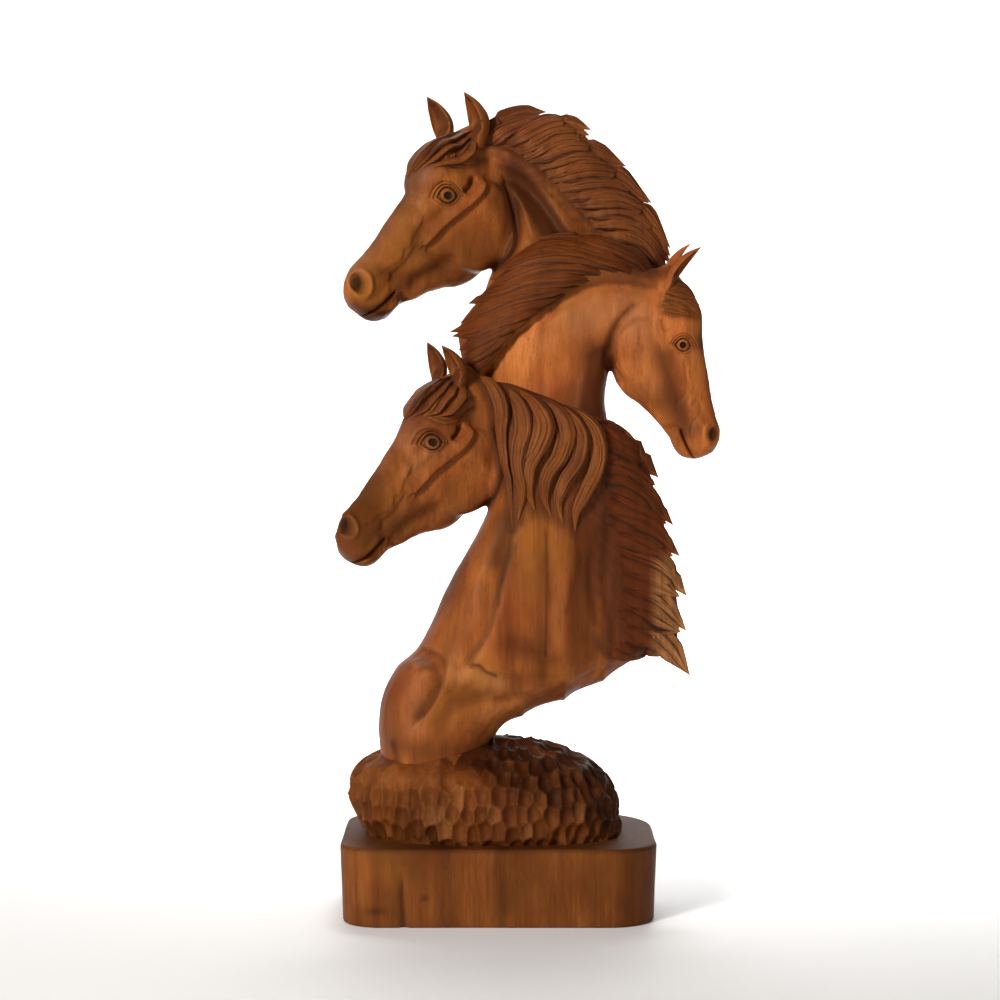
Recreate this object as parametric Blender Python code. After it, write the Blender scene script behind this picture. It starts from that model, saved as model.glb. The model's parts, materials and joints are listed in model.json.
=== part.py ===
# Carved wooden statuette: three horses' heads on one neck, with a gouged mound and a plinth.
# One block of wood, so it is one solid. Tables are in millimetres and the scene is in metres.
# +X is the viewer's right, the viewer is at -Y, +Z is up, and Z = 0 is the underside.
import math

import bmesh
import bpy
import numpy as np
from mathutils import Vector
from mathutils.bvhtree import BVHTree

MM = 0.001

# Plinth: a slab with rounded corners, slightly narrower at the bottom.
PLINTH_TOP = 57.0
PLINTH_LEFT, PLINTH_RIGHT = -116.0, 114.0
PLINTH_FRONT, PLINTH_BACK = -75.0, 75.0
PLINTH_CORNERS = (28.0, 32.0, 52.0, 30.0)
PLINTH_TAPER = 0.985
CORNER_STEPS = 6

# Mound: level, left, right, front and back of its outline.
MOUND_LEVELS = [
    (54, -99, 91, -62, 60),
    (70, -106, 90, -66, 63),
    (86, -113, 87, -66, 64),
    (101, -110, 78, -61, 59),
    (112, -99, 63, -52, 51),
    (120, -78, 45, -40, 40),
    (126, -45, 24, -23, 25),
]
MOUND_ROWS = 6
MOUND_SCOOPS = 46
MOUND_SQUARENESS = 2.7
SCOOP_DEPTH = 3.0
MOUND_CORE = (-8.0, 0.0, 66.0)

# Voxel size, smoothing and triangle count of the carved body.
VOXEL = 1.7
SMOOTHING = 5
BODY_TRIANGLES = 7600

# Necks: front (x, z), back (x, z), y, half thickness at the front and at the back.
LOWER_NECK = [
    (-28, 359, -20, 393, -20, 17, 14),
    (-16, 326, 11, 388, -20, 26, 17),
    (-9, 300, 44, 375, -18, 33, 18),
    (-15, 283, 73, 359, -16, 38, 18),
    (-25, 265, 89, 318, -14, 42, 20),
    (-37, 243, 97, 270, -12, 46, 22),
    (-48, 219, 103, 222, -10, 50, 26),
    (-60, 195, 107, 191, -8, 52, 26),
    (-75, 182, 77, 170, -8, 52, 30),
    (-86, 161, 49, 156, -6, 48, 30),
    (-90, 139, 15, 143, -6, 43, 30),
    (-89, 122, -4, 129, -6, 40, 32),
    (-86, 106, -16, 106, -6, 38, 34),
]
UPPER_NECK = [
    (-16, 534, -16, 567, 20, 17, 12),
    (0, 512, 9, 569, 21, 22, 12),
    (2, 490, 37, 553, 22, 27, 13),
    (-5, 474, 65, 527, 23, 31, 14),
    (-11, 457, 87, 498, 24, 34, 16),
    (-16, 435, 98, 464, 24, 34, 18),
    (-21, 405, 80, 427, 24, 34, 20),
    (-19, 372, 70, 394, 24, 34, 24),
    (-11, 338, 74, 361, 22, 36, 28),
    (-15, 302, 83, 324, 18, 38, 30),
    (-26, 257, 91, 272, 14, 40, 32),
    (-44, 213, 93, 213, 8, 42, 32),
    (-63, 161, 74, 176, 4, 38, 28),
]
MIDDLE_NECK = [
    (106, 424, 126, 461, -2, 12, 9),
    (94, 431, 113, 463, -1, 15, 11),
    (86, 422, 92, 468, 0, 18, 13),
    (82, 411, 66, 466, 1, 20, 14),
    (80, 400, 41, 457, 2, 22, 15),
    (78, 387, 18, 442, 3, 24, 16),
    (77, 374, 1, 424, 4, 25, 17),
    (80, 356, -8, 404, 5, 25, 18),
    (81, 332, -6, 376, 4, 25, 20),
    (74, 303, -4, 339, 2, 25, 20),
]

# Manes: the same columns, from the root on the neck to the outer edge.
LOWER_MANE = [
    (44, 369, 73, 364, -12, 20, 7),
    (58, 347, 97, 345, -11, 21, 7),
    (67, 325, 108, 324, -10, 21, 6),
    (73, 303, 119, 296, -9, 20, 6),
    (78, 281, 123, 270, -9, 19, 5),
    (80, 259, 128, 246, -9, 18, 5),
    (82, 237, 132, 225, -9, 17, 5),
    (82, 215, 132, 208, -9, 17, 5),
    (88, 200, 129, 194, -9, 16, 4),
]
UPPER_MANE = [
    (-15, 560, -10, 577, 20, 14, 6),
    (0, 553, 6, 585, 20, 18, 6),
    (15, 544, 25, 588, 20, 20, 6),
    (30, 532, 49, 580, 21, 21, 6),
    (41, 520, 63, 566, 22, 21, 6),
    (52, 507, 78, 551, 23, 22, 6),
    (63, 495, 95, 532, 24, 23, 6),
    (73, 484, 107, 512, 24, 24, 7),
    (78, 470, 118, 492, 24, 24, 8),
    (74, 456, 124, 470, 24, 24, 9),
    (67, 435, 108, 442, 24, 24, 10),
    (58, 413, 82, 416, 24, 24, 10),
]
MIDDLE_MANE = [
    (120, 457, 114, 470, -3, 13, 6),
    (102, 455, 98, 483, -2, 17, 7),
    (84, 458, 77, 493, -1, 20, 8),
    (66, 457, 53, 494, 0, 21, 8),
    (48, 448, 29, 492, 1, 22, 9),
    (33, 438, 13, 483, 2, 23, 9),
    (18, 429, 0, 469, 3, 24, 10),
    (6, 420, -12, 454, 3, 24, 10),
    (-4, 409, -26, 438, 3, 22, 9),
    (-10, 397, -31, 424, 3, 20, 9),
    (-13, 382, -29, 408, 3, 18, 8),
]

# Heads: poll point, length, pitch and yaw in degrees, and the way it faces along X.
HEADS = {
    "upper": ((-24.4, 20.0, 568.7), 157.0, 50.0, 32.0, -1),
    "middle": ((127.6, -2.0, 460.8), 127.0, 77.6, 6.5, 1),
    "lower": ((-34.3, -22.0, 388.9), 152.0, 49.5, 36.0, -1),
}

# Ribs of a head, as shares of its length: top (along, up), bottom (along, up), and half
# widths at the levels in RIB_LEVELS, which run from the top edge to the bottom edge.
RIB_LEVELS = (0.05, 0.22, 0.42, 0.65, 0.88)
HEAD_RIBS = [
    (-0.13, 0.00, -0.08, -0.22, 0.050, 0.070, 0.080, 0.075, 0.050),
    (-0.05, 0.06, 0.02, -0.30, 0.070, 0.100, 0.100, 0.090, 0.060),
    (0.05, 0.100, 0.12, -0.365, 0.100, 0.125, 0.115, 0.105, 0.075),
    (0.13, 0.126, 0.22, -0.415, 0.116, 0.145, 0.125, 0.120, 0.090),
    (0.22, 0.121, 0.32, -0.448, 0.116, 0.157, 0.130, 0.130, 0.100),
    (0.32, 0.102, 0.42, -0.457, 0.100, 0.158, 0.125, 0.130, 0.100),
    (0.42, 0.087, 0.50, -0.445, 0.078, 0.130, 0.120, 0.118, 0.090),
    (0.52, 0.084, 0.57, -0.408, 0.062, 0.100, 0.110, 0.100, 0.075),
    (0.61, 0.081, 0.625, -0.354, 0.053, 0.083, 0.098, 0.088, 0.064),
    (0.70, 0.078, 0.69, -0.308, 0.048, 0.072, 0.085, 0.075, 0.056),
    (0.78, 0.081, 0.77, -0.264, 0.048, 0.070, 0.078, 0.068, 0.053),
    (0.85, 0.085, 0.84, -0.222, 0.052, 0.080, 0.083, 0.070, 0.057),
    (0.905, 0.080, 0.90, -0.210, 0.052, 0.086, 0.088, 0.068, 0.057),
    (0.955, 0.058, 0.955, -0.194, 0.045, 0.078, 0.078, 0.062, 0.050),
    (0.99, 0.02, 1.00, -0.14, 0.030, 0.055, 0.060, 0.050, 0.035),
    (1.005, -0.03, 1.012, -0.085, 0.015, 0.030, 0.030, 0.030, 0.015),
]
CHEEK_CENTRE = (0.33, -0.232)
CHEEK_RADIUS = 0.222
CHEEK_HALF_WIDTH = 0.145

# Carving on both sides of a head: path (along, up), radius and height, negative for a cut.
FEATURES = [
    ([(0.29, 0.02), (0.35, 0.03)], 0.045, 0.014),
    ([(0.345, -0.016)], 0.028, 0.016),
    ([(0.20, 0.03), (0.26, -0.03)], 0.028, -0.020),
    ([(0.40, -0.03), (0.37, -0.07)], 0.020, -0.012),
    ([(0.42, -0.08), (0.66, -0.13)], 0.020, 0.014),
    ([(0.52, -0.20), (0.68, -0.17)], 0.045, -0.016),
    ([(0.52, -0.02), (0.74, 0.00)], 0.034, -0.014),
    ([(0.86, 0.055), (0.91, 0.05)], 0.018, 0.012),
    ([(0.875, 0.025), (0.91, 0.02)], 0.020, -0.040),
    ([(0.84, -0.115), (0.93, -0.118), (1.00, -0.09)], 0.011, -0.022),
]

# Ears: base, tip, width and the way the cup opens.
EARS = [
    ((-18, 7, 565), (-27, 3, 601), 15, (-0.6, -0.8, 0.1)),
    ((-39, 31, 566), (-54, 34, 600), 15, (-0.9, 0.3, 0.1)),
    ((124, -12, 463), (146, -15, 488), 13, (0.5, -0.8, -0.3)),
    ((124, 8, 464), (140, 11, 491), 13, (0.5, 0.8, -0.3)),
    ((-32, -33, 388), (-42, -37, 417), 13, (-0.6, -0.8, 0.1)),
    ((-45, -13, 389), (-53, -11, 419), 13, (-0.9, 0.3, 0.1)),
]
EAR_WIDTHS = (0.55, 0.85, 1.0, 0.97, 0.8, 0.52, 0.14)

# Locks: path (x, z) from root to tip, width, and height above the surface.
UPPER_LOCKS = [
    ([(-7, 565), (4, 579), (18, 587), (36, 589)], 10, 5),
    ([(0, 558), (18, 574), (40, 581), (67, 574)], 10, 5),
    ([(11, 550), (33, 563), (50, 566), (66, 566)], 10, 5),
    ([(22, 542), (44, 555), (70, 559), (94, 547)], 11, 5),
    ([(33, 532), (55, 543), (73, 546), (91, 541)], 10, 5),
    ([(40, 523), (66, 534), (92, 533), (114, 520)], 11, 5),
    ([(50, 512), (73, 520), (95, 518), (118, 501)], 11, 5),
    ([(59, 501), (81, 508), (103, 504), (125, 488)], 11, 5),
    ([(66, 488), (88, 493), (110, 488), (128, 473)], 11, 5),
]
MIDDLE_LOCKS = [
    ([(112, 466), (94, 482), (72, 491), (43, 494), (25, 494)], 10, 5),
    ([(105, 462), (72, 478), (43, 481), (14, 480), (-7, 463)], 11, 5),
    ([(91, 464), (58, 471), (29, 467), (0, 455), (-23, 447)], 11, 5),
    ([(72, 464), (44, 461), (15, 449), (-11, 436), (-37, 426)], 11, 5),
    ([(54, 457), (29, 447), (7, 435), (-15, 425), (-31, 413)], 11, 5),
    ([(36, 446), (15, 434), (-4, 420), (-18, 412), (-33, 405)], 10, 5),
]
LOWER_LOCKS = [
    ([(65, 361), (81, 361), (95, 354), (104, 339)], 10, 5),
    ([(67, 344), (87, 344), (104, 335), (117, 319)], 11, 5),
    ([(71, 330), (91, 326), (113, 310), (128, 284)], 11, 5),
    ([(74, 311), (95, 304), (117, 286), (133, 262)], 11, 5),
    ([(77, 291), (95, 280), (118, 258), (138, 232)], 11, 5),
    ([(79, 269), (95, 254), (120, 231), (137, 206)], 11, 5),
    ([(80, 247), (95, 231), (118, 201), (140, 173)], 11, 5),
    ([(82, 227), (95, 215), (111, 204), (125, 193)], 10, 5),
]
SIDE_LOCKS = [
    ([(-11, 395), (-2, 378), (0, 356), (2, 328), (7, 306), (9, 284)], 10, 8),
    ([(-4, 392), (11, 372), (9, 349), (4, 328), (3, 312)], 10, 8),
    ([(4, 394), (21, 378), (29, 356), (22, 335), (11, 313), (14, 293)], 10, 8),
    ([(21, 385), (39, 367), (43, 346), (32, 320), (25, 297)], 10, 8),
    ([(43, 376), (55, 356), (56, 338), (47, 313), (36, 290)], 10, 8),
    ([(57, 365), (70, 343), (66, 324), (56, 302), (49, 279)], 10, 8),
]
LOCKS = [(UPPER_LOCKS, 24), (MIDDLE_LOCKS, 2), (LOWER_LOCKS, -9)]

# Forelock: paths along and across the forehead, as shares of the head's length.
FORELOCK = [
    [(-0.06, 0.00), (0.03, -0.03), (0.12, -0.06), (0.18, -0.10)],
    [(-0.06, 0.04), (0.03, 0.02), (0.11, -0.01), (0.18, -0.04)],
    [(-0.05, 0.07), (0.04, 0.07), (0.11, 0.06), (0.19, 0.03)],
    [(-0.04, 0.08), (0.05, 0.10), (0.12, 0.11), (0.18, 0.11)],
    [(-0.06, -0.05), (0.04, -0.08), (0.12, -0.10), (0.17, -0.11)],
]
FORELOCK_WIDTH = 10
FORELOCK_HEIGHT = 6


def unit(vector):
    vector = np.asarray(vector, float)
    return vector / np.linalg.norm(vector)


def smooth_rows(rows, count):
    """A smooth curve through every column of a table."""
    rows = np.asarray(rows, float)
    ends = np.vstack([2 * rows[0] - rows[1], rows, 2 * rows[-1] - rows[-2]])
    at = np.linspace(0, len(rows) - 1, count)
    k = np.minimum(at.astype(int), len(rows) - 2)
    t = (at - k)[:, None]
    a, b, c, d = ends[k], ends[k + 1], ends[k + 2], ends[k + 3]
    curve = 2 * b + (c - a) * t + (2 * a - 5 * b + 4 * c - d) * t**2
    return 0.5 * (curve + (3 * b - a - 3 * c + d) * t**3)


def tube(rings):
    """Points and faces of a closed tube through rings of equal length."""
    rings = np.asarray(rings)
    count, around = rings.shape[:2]
    faces = [tuple(reversed(range(around)))]
    for i in range(count - 1):
        for j in range(around):
            k = (j + 1) % around
            low, high = i * around, (i + 1) * around
            faces.append((low + j, low + k, high + k, high + j))
    faces.append(tuple((count - 1) * around + j for j in range(around)))
    return rings.reshape(-1, 3), faces


def across(around):
    """Angles round a section, its level from 0 to 1 and its signed rounding."""
    angle = np.linspace(0, 2 * math.pi, around, endpoint=False)
    level = (1 - np.cos(angle)) / 2
    return level, np.sign(np.sin(angle)) * np.sqrt(1 - np.abs(2 * level - 1) ** 2.6)


def loft(rows, count=40, around=32):
    """A body between a front and a back profile, seen from the side."""
    level, side = across(around)
    rings = []
    for fx, fz, bx, bz, y, front, back in smooth_rows(rows, count):
        half = front + (back - front) * level
        ring = [fx + (bx - fx) * level, y + half * side, fz + (bz - fz) * level]
        rings.append(np.stack(ring, axis=1))
    return tube(rings)


def head_axes(pitch, yaw, facing):
    """Along the face, up from the face, and towards the near side."""
    forward = np.array([facing * math.cos(yaw), -math.sin(yaw), 0.0])
    up = np.array([0.0, 0.0, 1.0])
    along = math.cos(pitch) * forward - math.sin(pitch) * up
    dorsal = math.sin(pitch) * forward + math.cos(pitch) * up
    near = np.array([-facing * math.sin(yaw), -math.cos(yaw), 0.0])
    return along, dorsal, near


class Head:
    """The frame of one head, in shares of its length."""

    def __init__(self, poll, length, pitch, yaw, facing):
        self.poll = np.array(poll)
        self.length = length
        self.axes = np.array(head_axes(math.radians(pitch), math.radians(yaw), facing))

    def world(self, points):
        return self.poll + self.length * (np.asarray(points) @ self.axes)

    def local(self, points):
        return (points - self.poll) / self.length @ self.axes.T


def skull(head, count=64, around=40):
    """The head from poll to lips."""
    level, side = across(around)
    rings = []
    for row in smooth_rows(HEAD_RIBS, count):
        half = np.interp(level, (0, *RIB_LEVELS, 1), (row[4], *row[4:], row[8]))
        along = row[0] + (row[2] - row[0]) * level
        up = row[1] + (row[3] - row[1]) * level
        rings.append(head.world(np.stack([along, up, half * side], axis=1)))
    return tube(rings)


def cheeks(head, count=20, around=40):
    """The round jaw, a flattened disc as wide as both cheeks."""
    rings = []
    for height in np.linspace(-0.995, 0.995, count):
        radius = CHEEK_RADIUS * (1 - abs(height) ** 5) ** 0.4
        angle = np.linspace(0, 2 * math.pi, around, endpoint=False)
        along = CHEEK_CENTRE[0] + radius * np.cos(angle)
        up = CHEEK_CENTRE[1] + radius * np.sin(angle)
        across_head = np.full(around, height * CHEEK_HALF_WIDTH)
        rings.append(head.world(np.stack([along, up, across_head], axis=1)))
    return tube(rings)


def ear(base, tip, width, opening, count=14, around=20):
    """A pointed leaf with a hollow on the side that it opens to."""
    base, tip = np.array(base, float), np.array(tip, float)
    axis = unit(tip - base)
    out = unit(np.asarray(opening) - np.dot(opening, axis) * axis)
    side = np.cross(axis, out)
    angle = np.linspace(0, 2 * math.pi, around, endpoint=False)
    rings = []
    for t, share in zip(
        np.linspace(0, 1, count),
        smooth_rows(np.array(EAR_WIDTHS)[:, None], count)[:, 0],
        strict=True,
    ):
        half = width * share / 2
        hollow = 0.55 * math.sin(math.pi * min(1.0, t * 1.1)) ** 0.5
        depth = np.where(np.sin(angle) > 0, 0.45 - hollow, 0.75)
        centre = base + (tip - base) * t - out * width * 0.12 * math.sin(math.pi * t)
        ring = centre + np.outer(np.cos(angle) * half, side)
        rings.append(ring + np.outer(np.sin(angle) * half * depth, out))
    return tube(rings)


def side_frame(toward, middle):
    """Lock paths in X and Z, laid on the body from the front or from the back."""
    origin = np.array([0.0, middle, 0.0])
    return origin, np.array([1.0, 0, 0]), np.array([0, 0, 1.0]), np.array([0, toward, 0])


def brow_frame(head):
    """Lock paths along and across a forehead, laid on it from above."""
    along, dorsal, near = head.axes
    return head.poll, along * head.length, near * head.length, dorsal


def laid_on(tree, frame, path, count):
    """A smooth path dropped on the body, with the body's normals."""
    origin, first, second, toward = frame
    flat = np.array([origin + a * first + b * second for a, b in smooth_rows(path, count)])
    rise = np.full(count, np.nan)
    normals = np.tile(toward, (count, 1)).astype(float)
    for i, point in enumerate(flat):
        hit, normal = tree.ray_cast(Vector(point + 200 * toward), Vector(-toward))[:2]
        if hit is not None:
            rise[i] = (np.array(hit) - point) @ toward
            normals[i] = 0.6 * np.array(normal) + 0.4 * toward
    found = np.flatnonzero(~np.isnan(rise))
    rise = np.interp(np.arange(count), found, rise[found])
    # Past the edge of the body a tip turns in to the middle of its mane.
    beyond = np.maximum(0, np.arange(count) - found[-1])
    rise *= 0.72**beyond
    return flat + rise[:, None] * toward, normals


def lock(tree, frame, path, width, height, count=14):
    """A lock of hair with a ridge, laid on the surface that it crosses."""
    points, normals = laid_on(tree, frame, path, count)
    tangents = np.gradient(points, axis=0)
    profile = [(-1.0, -0.5), (-0.85, 0.15), (-0.4, 0.6), (0.1, 0.8), (0.55, 0.55)]
    profile += [(0.9, 0.1), (1.0, -0.5), (0.0, -0.9)]
    rings = []
    for i, t in enumerate(np.linspace(0, 1, count)):
        normal = unit(normals[i])
        side = unit(np.cross(tangents[i], normal))
        half = 0.5 * width * min(1.0, 0.5 + 2.5 * t) * max(0.08, (1 - t**3) ** 0.8)
        top = height * max(0.25, min(1.0, 2.0 * (1 - t)))
        rings.append([points[i] + a * half * side + b * top * normal for a, b in profile])
    return tube(rings)


def add_mesh(name, points, faces, scale=MM):
    mesh = bpy.data.meshes.new(name)
    mesh.from_pydata((np.asarray(points) * scale).tolist(), [], faces)
    mesh.update()
    obj = bpy.data.objects.new(name, mesh)
    bpy.context.scene.collection.objects.link(obj)
    return obj


def outward(obj):
    """Turns every face outward."""
    work = bmesh.new()
    work.from_mesh(obj.data)
    bmesh.ops.recalc_face_normals(work, faces=work.faces)
    work.to_mesh(obj.data)
    work.free()


def joined(name, bodies):
    """One mesh object that holds several closed bodies."""
    points, faces, start = [], [], 0
    for body_points, body_faces in bodies:
        points.append(body_points)
        faces += [tuple(start + k for k in face) for face in body_faces]
        start += len(body_points)
    obj = add_mesh(name, np.vstack(points), faces)
    outward(obj)
    return obj


def evaluated(obj):
    """Replaces an object's mesh with the result of its modifiers."""
    graph = bpy.context.evaluated_depsgraph_get()
    mesh = bpy.data.meshes.new_from_object(obj.evaluated_get(graph))
    obj.modifiers.clear()
    obj.data = mesh


def remeshed(obj, voxel, smoothing):
    remesh = obj.modifiers.new("Remesh", "REMESH")
    remesh.mode = "VOXEL"
    remesh.voxel_size = voxel * MM
    if smoothing:
        smooth = obj.modifiers.new("Smooth", "SMOOTH")
        smooth.factor = 0.5
        smooth.iterations = smoothing
    evaluated(obj)


def distance_to_path(along, up, path):
    path = np.array(path, float)
    if len(path) == 1:
        return np.hypot(along - path[0, 0], up - path[0, 1])
    best = np.full(len(along), np.inf)
    for a, b in zip(path[:-1], path[1:], strict=True):
        step = b - a
        t = ((along - a[0]) * step[0] + (up - a[1]) * step[1]) / (step @ step)
        t = np.clip(t, 0, 1)
        away = np.hypot(along - a[0] - t * step[0], up - a[1] - t * step[1])
        best = np.minimum(best, away)
    return best


def carve_head(points, head):
    """Raises and cuts the features of a head on both of its sides."""
    along, up, out = head.local(points).T
    inside = (along > 0.02) & (along < 1.05) & (np.abs(out) < 0.2) & (up > -0.47) & (up < 0.16)
    height = np.zeros(len(points))
    for path, radius, amount in FEATURES:
        height += amount * np.exp(-((distance_to_path(along, up, path) / radius) ** 2))
    push = np.where(inside, height, 0) * np.tanh(out / 0.03) * head.length
    return points + push[:, None] * head.axes[2]


def mound_ring(level, left, right, front, back, angle):
    """A squarish outline round the mound at one level."""
    c, s = np.cos(angle), np.sin(angle)
    power = 2 / MOUND_SQUARENESS
    x = np.sign(c) * np.abs(c) ** power
    y = np.sign(s) * np.abs(s) ** power
    x = np.where(x > 0, x * right, -x * left)
    y = np.where(y > 0, y * back, -y * front)
    return np.stack([x, y, np.full(len(angle), level)], axis=1)


def mound():
    """The mound, with one hollow facet for each cut of the gouge."""
    count = 2 * MOUND_SCOOPS
    angle = np.linspace(0, 2 * math.pi, count, endpoint=False)
    levels = smooth_rows(MOUND_LEVELS, 2 * MOUND_ROWS + 1)
    rings = np.array([mound_ring(*row, angle) for row in levels])
    edges = rings[0::2].copy()
    # The corners of the cuts step up and down, so that the rows interlock.
    for row in range(1, MOUND_ROWS):
        step = 0.16 * (rings[2 * row + 1] - rings[2 * row - 1])
        sign = np.where((np.arange(count) + row) % 2 == 0, 1.0, -1.0)
        edges[row] += sign[:, None] * step
    points = list(edges.reshape(-1, 3))
    faces = []
    for row in range(MOUND_ROWS):
        low, high = row * count, (row + 1) * count
        middle = rings[2 * row + 1]
        inward = np.array(MOUND_CORE) - middle
        inward /= np.linalg.norm(inward, axis=1)[:, None]
        for cut in range(MOUND_SCOOPS):
            j = 2 * cut + row % 2
            a, b, c = j % count, (j + 1) % count, (j + 2) % count
            hollow = len(points)
            points.append(middle[b] + SCOOP_DEPTH * inward[b])
            rim = [low + a, low + b, low + c, high + c, high + b, high + a]
            faces += [(rim[k], rim[(k + 1) % 6], hollow) for k in range(6)]
    faces.append(tuple(reversed(range(count))))
    faces.append(tuple(MOUND_ROWS * count + j for j in range(count)))
    return points, faces


def plinth():
    """The slab, with an arc at each corner and a small worn edge round the top."""
    centre_x = (PLINTH_LEFT + PLINTH_RIGHT) / 2
    centre_y = (PLINTH_FRONT + PLINTH_BACK) / 2
    corners = [
        (PLINTH_LEFT, PLINTH_FRONT, 1, 1, 180),
        (PLINTH_RIGHT, PLINTH_FRONT, -1, 1, 270),
        (PLINTH_RIGHT, PLINTH_BACK, -1, -1, 0),
        (PLINTH_LEFT, PLINTH_BACK, 1, -1, 90),
    ]
    outline = []
    for (x, y, to_x, to_y, start), radius in zip(corners, PLINTH_CORNERS, strict=True):
        for step in range(CORNER_STEPS + 1):
            angle = math.radians(start + 90 * step / CORNER_STEPS)
            px = x + to_x * radius + radius * math.cos(angle)
            py = y + to_y * radius + radius * math.sin(angle)
            outline.append((px - centre_x, py - centre_y))
    outline = np.array(outline)
    rings = []
    for level, share in [(0, PLINTH_TAPER), (PLINTH_TOP - 2, 1.0), (PLINTH_TOP, 0.988)]:
        ring = [outline[:, 0] * share + centre_x, outline[:, 1] * share + centre_y]
        rings.append(np.stack([*ring, np.full(len(outline), level)], axis=1))
    return tube(rings)


def wood():
    material = bpy.data.materials.new("carved_hardwood")
    material.use_nodes = True
    shader = material.node_tree.nodes["Principled BSDF"]
    shader.inputs["Base Color"].default_value = (0.20, 0.075, 0.028, 1.0)
    shader.inputs["Roughness"].default_value = 0.38
    shader.inputs["Metallic"].default_value = 0.0
    return material


def helper(obj):
    obj.hide_render = True
    obj.display_type = "WIRE"


def union(obj, other):
    boolean = obj.modifiers.new("Union", "BOOLEAN")
    boolean.operation = "UNION"
    boolean.solver = "EXACT"
    boolean.object = other


def horses():
    """The three heads, necks and manes as one closed body."""
    heads = {name: Head(*values) for name, values in HEADS.items()}
    bodies = [loft(rows) for rows in (LOWER_NECK, UPPER_NECK, MIDDLE_NECK)]
    bodies += [loft(rows) for rows in (LOWER_MANE, UPPER_MANE, MIDDLE_MANE)]
    for head in heads.values():
        bodies += [skull(head), cheeks(head)]
    body = joined("carving", bodies)
    remeshed(body, VOXEL, SMOOTHING)
    points = np.array([v.co for v in body.data.vertices]) / MM
    for head in heads.values():
        points = carve_head(points, head)
    faces = [tuple(face.vertices) for face in body.data.polygons]
    tree = BVHTree.FromPolygons(points.tolist(), faces)
    bpy.data.objects.remove(body)
    bodies = [(points, faces)] + [ear(*values) for values in EARS]
    for locks, middle in LOCKS:
        for path, width, height in locks:
            for toward in (-1, 1):
                bodies.append(lock(tree, side_frame(toward, middle), path, width, height))
    for path, width, height in SIDE_LOCKS:
        bodies.append(lock(tree, side_frame(-1, 0), path, width, height))
    for path, width, height in SIDE_LOCKS[2:]:
        bodies.append(lock(tree, side_frame(1, 0), path, width, height))
    for head in heads.values():
        for path in FORELOCK:
            bodies.append(lock(tree, brow_frame(head), path, FORELOCK_WIDTH, FORELOCK_HEIGHT))
    body = joined("carving", bodies)
    remeshed(body, VOXEL, 1)
    reduce = body.modifiers.new("Decimate", "DECIMATE")
    reduce.ratio = min(1.0, BODY_TRIANGLES / (2 * len(body.data.polygons)))
    evaluated(body)
    return body


def build():
    for obj in list(bpy.data.objects):
        bpy.data.objects.remove(obj)
    body = horses()
    mound_points, mound_faces = mound()
    for name, points, faces in (
        ("mound_block", mound_points, mound_faces),
        ("plinth_block", *plinth()),
    ):
        block = add_mesh(name, points, faces)
        outward(block)
        union(body, block)
        helper(block)
    body.data.materials.append(wood())


build()
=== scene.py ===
# Carved wooden statuette: three horses' heads on one neck, over a gouged mound and a plinth.
# Everything is cut from one block, so every piece here stands for the one node "carving".
# Tables are in millimetres. +X is the viewer's right, the viewer is at -Y and +Z is up.
import json
import math

import bmesh
import bpy
import numpy as np
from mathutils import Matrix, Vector, noise
from mathutils.bvhtree import BVHTree
from mathutils.kdtree import KDTree

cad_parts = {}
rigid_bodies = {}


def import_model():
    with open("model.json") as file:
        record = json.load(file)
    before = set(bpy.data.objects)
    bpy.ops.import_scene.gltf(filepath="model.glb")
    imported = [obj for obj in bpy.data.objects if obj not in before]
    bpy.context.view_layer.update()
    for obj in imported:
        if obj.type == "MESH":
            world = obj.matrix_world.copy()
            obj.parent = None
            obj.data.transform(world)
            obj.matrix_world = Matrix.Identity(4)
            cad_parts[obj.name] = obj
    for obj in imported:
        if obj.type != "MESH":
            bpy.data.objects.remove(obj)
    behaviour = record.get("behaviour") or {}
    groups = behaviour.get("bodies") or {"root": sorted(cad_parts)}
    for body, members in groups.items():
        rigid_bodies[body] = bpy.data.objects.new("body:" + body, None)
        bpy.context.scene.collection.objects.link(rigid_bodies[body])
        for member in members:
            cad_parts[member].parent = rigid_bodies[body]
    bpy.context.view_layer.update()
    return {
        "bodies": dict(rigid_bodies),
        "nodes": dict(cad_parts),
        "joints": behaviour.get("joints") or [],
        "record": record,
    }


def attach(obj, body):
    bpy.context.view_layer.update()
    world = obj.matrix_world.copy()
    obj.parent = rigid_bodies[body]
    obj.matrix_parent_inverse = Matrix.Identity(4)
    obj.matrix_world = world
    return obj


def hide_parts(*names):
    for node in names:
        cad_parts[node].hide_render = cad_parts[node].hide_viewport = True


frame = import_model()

MM = 0.001

# Grain of the mesh: voxel of the carved bodies, rounds of smoothing, most triangles.
BODY_VOXEL = 1.55
BODY_SMOOTHING = 9
MOST_TRIANGLES = 150000

# Unevenness of a smooth surface: height, spacing across and upright, and shift along X.
HAND_WORK = [(0.75, 15, 24, 0), (0.28, 6, 11, 9)]

# Plinth: a slab with rounded corners, slightly narrower at the bottom.
PLINTH_TOP = 57.0
PLINTH_LEFT, PLINTH_RIGHT = -116.0, 114.0
PLINTH_FRONT, PLINTH_BACK = -75.0, 75.0
PLINTH_CORNERS = (28.0, 32.0, 52.0, 30.0)
PLINTH_TAPER = 0.985

# Its worn top edge: depth under the top, and share of the outline.
PLINTH_EDGE = [(1.9, 0.9995), (1.0, 0.997), (0.35, 0.992), (0, 0.984), (0, 0.97)]
PLINTH_STEP = 1.6

# Its crack and seam along X, two dark bands (x, width, strength), and the right end, darkened with painted
# shade.
CRACK_AT = -69
SEAM_AT = 1.5
DARK_BANDS = ((2, 5, 0.35), (-40, 9, 0.3))
RIGHT_END_SHADE = (86, 96)

# A knot and a smudge on it: middle (x, z), width and height.
KNOT = (-54, 22, 3.5, 2.5)
SMUDGE = (-89, 12, 8, 3)

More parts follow.
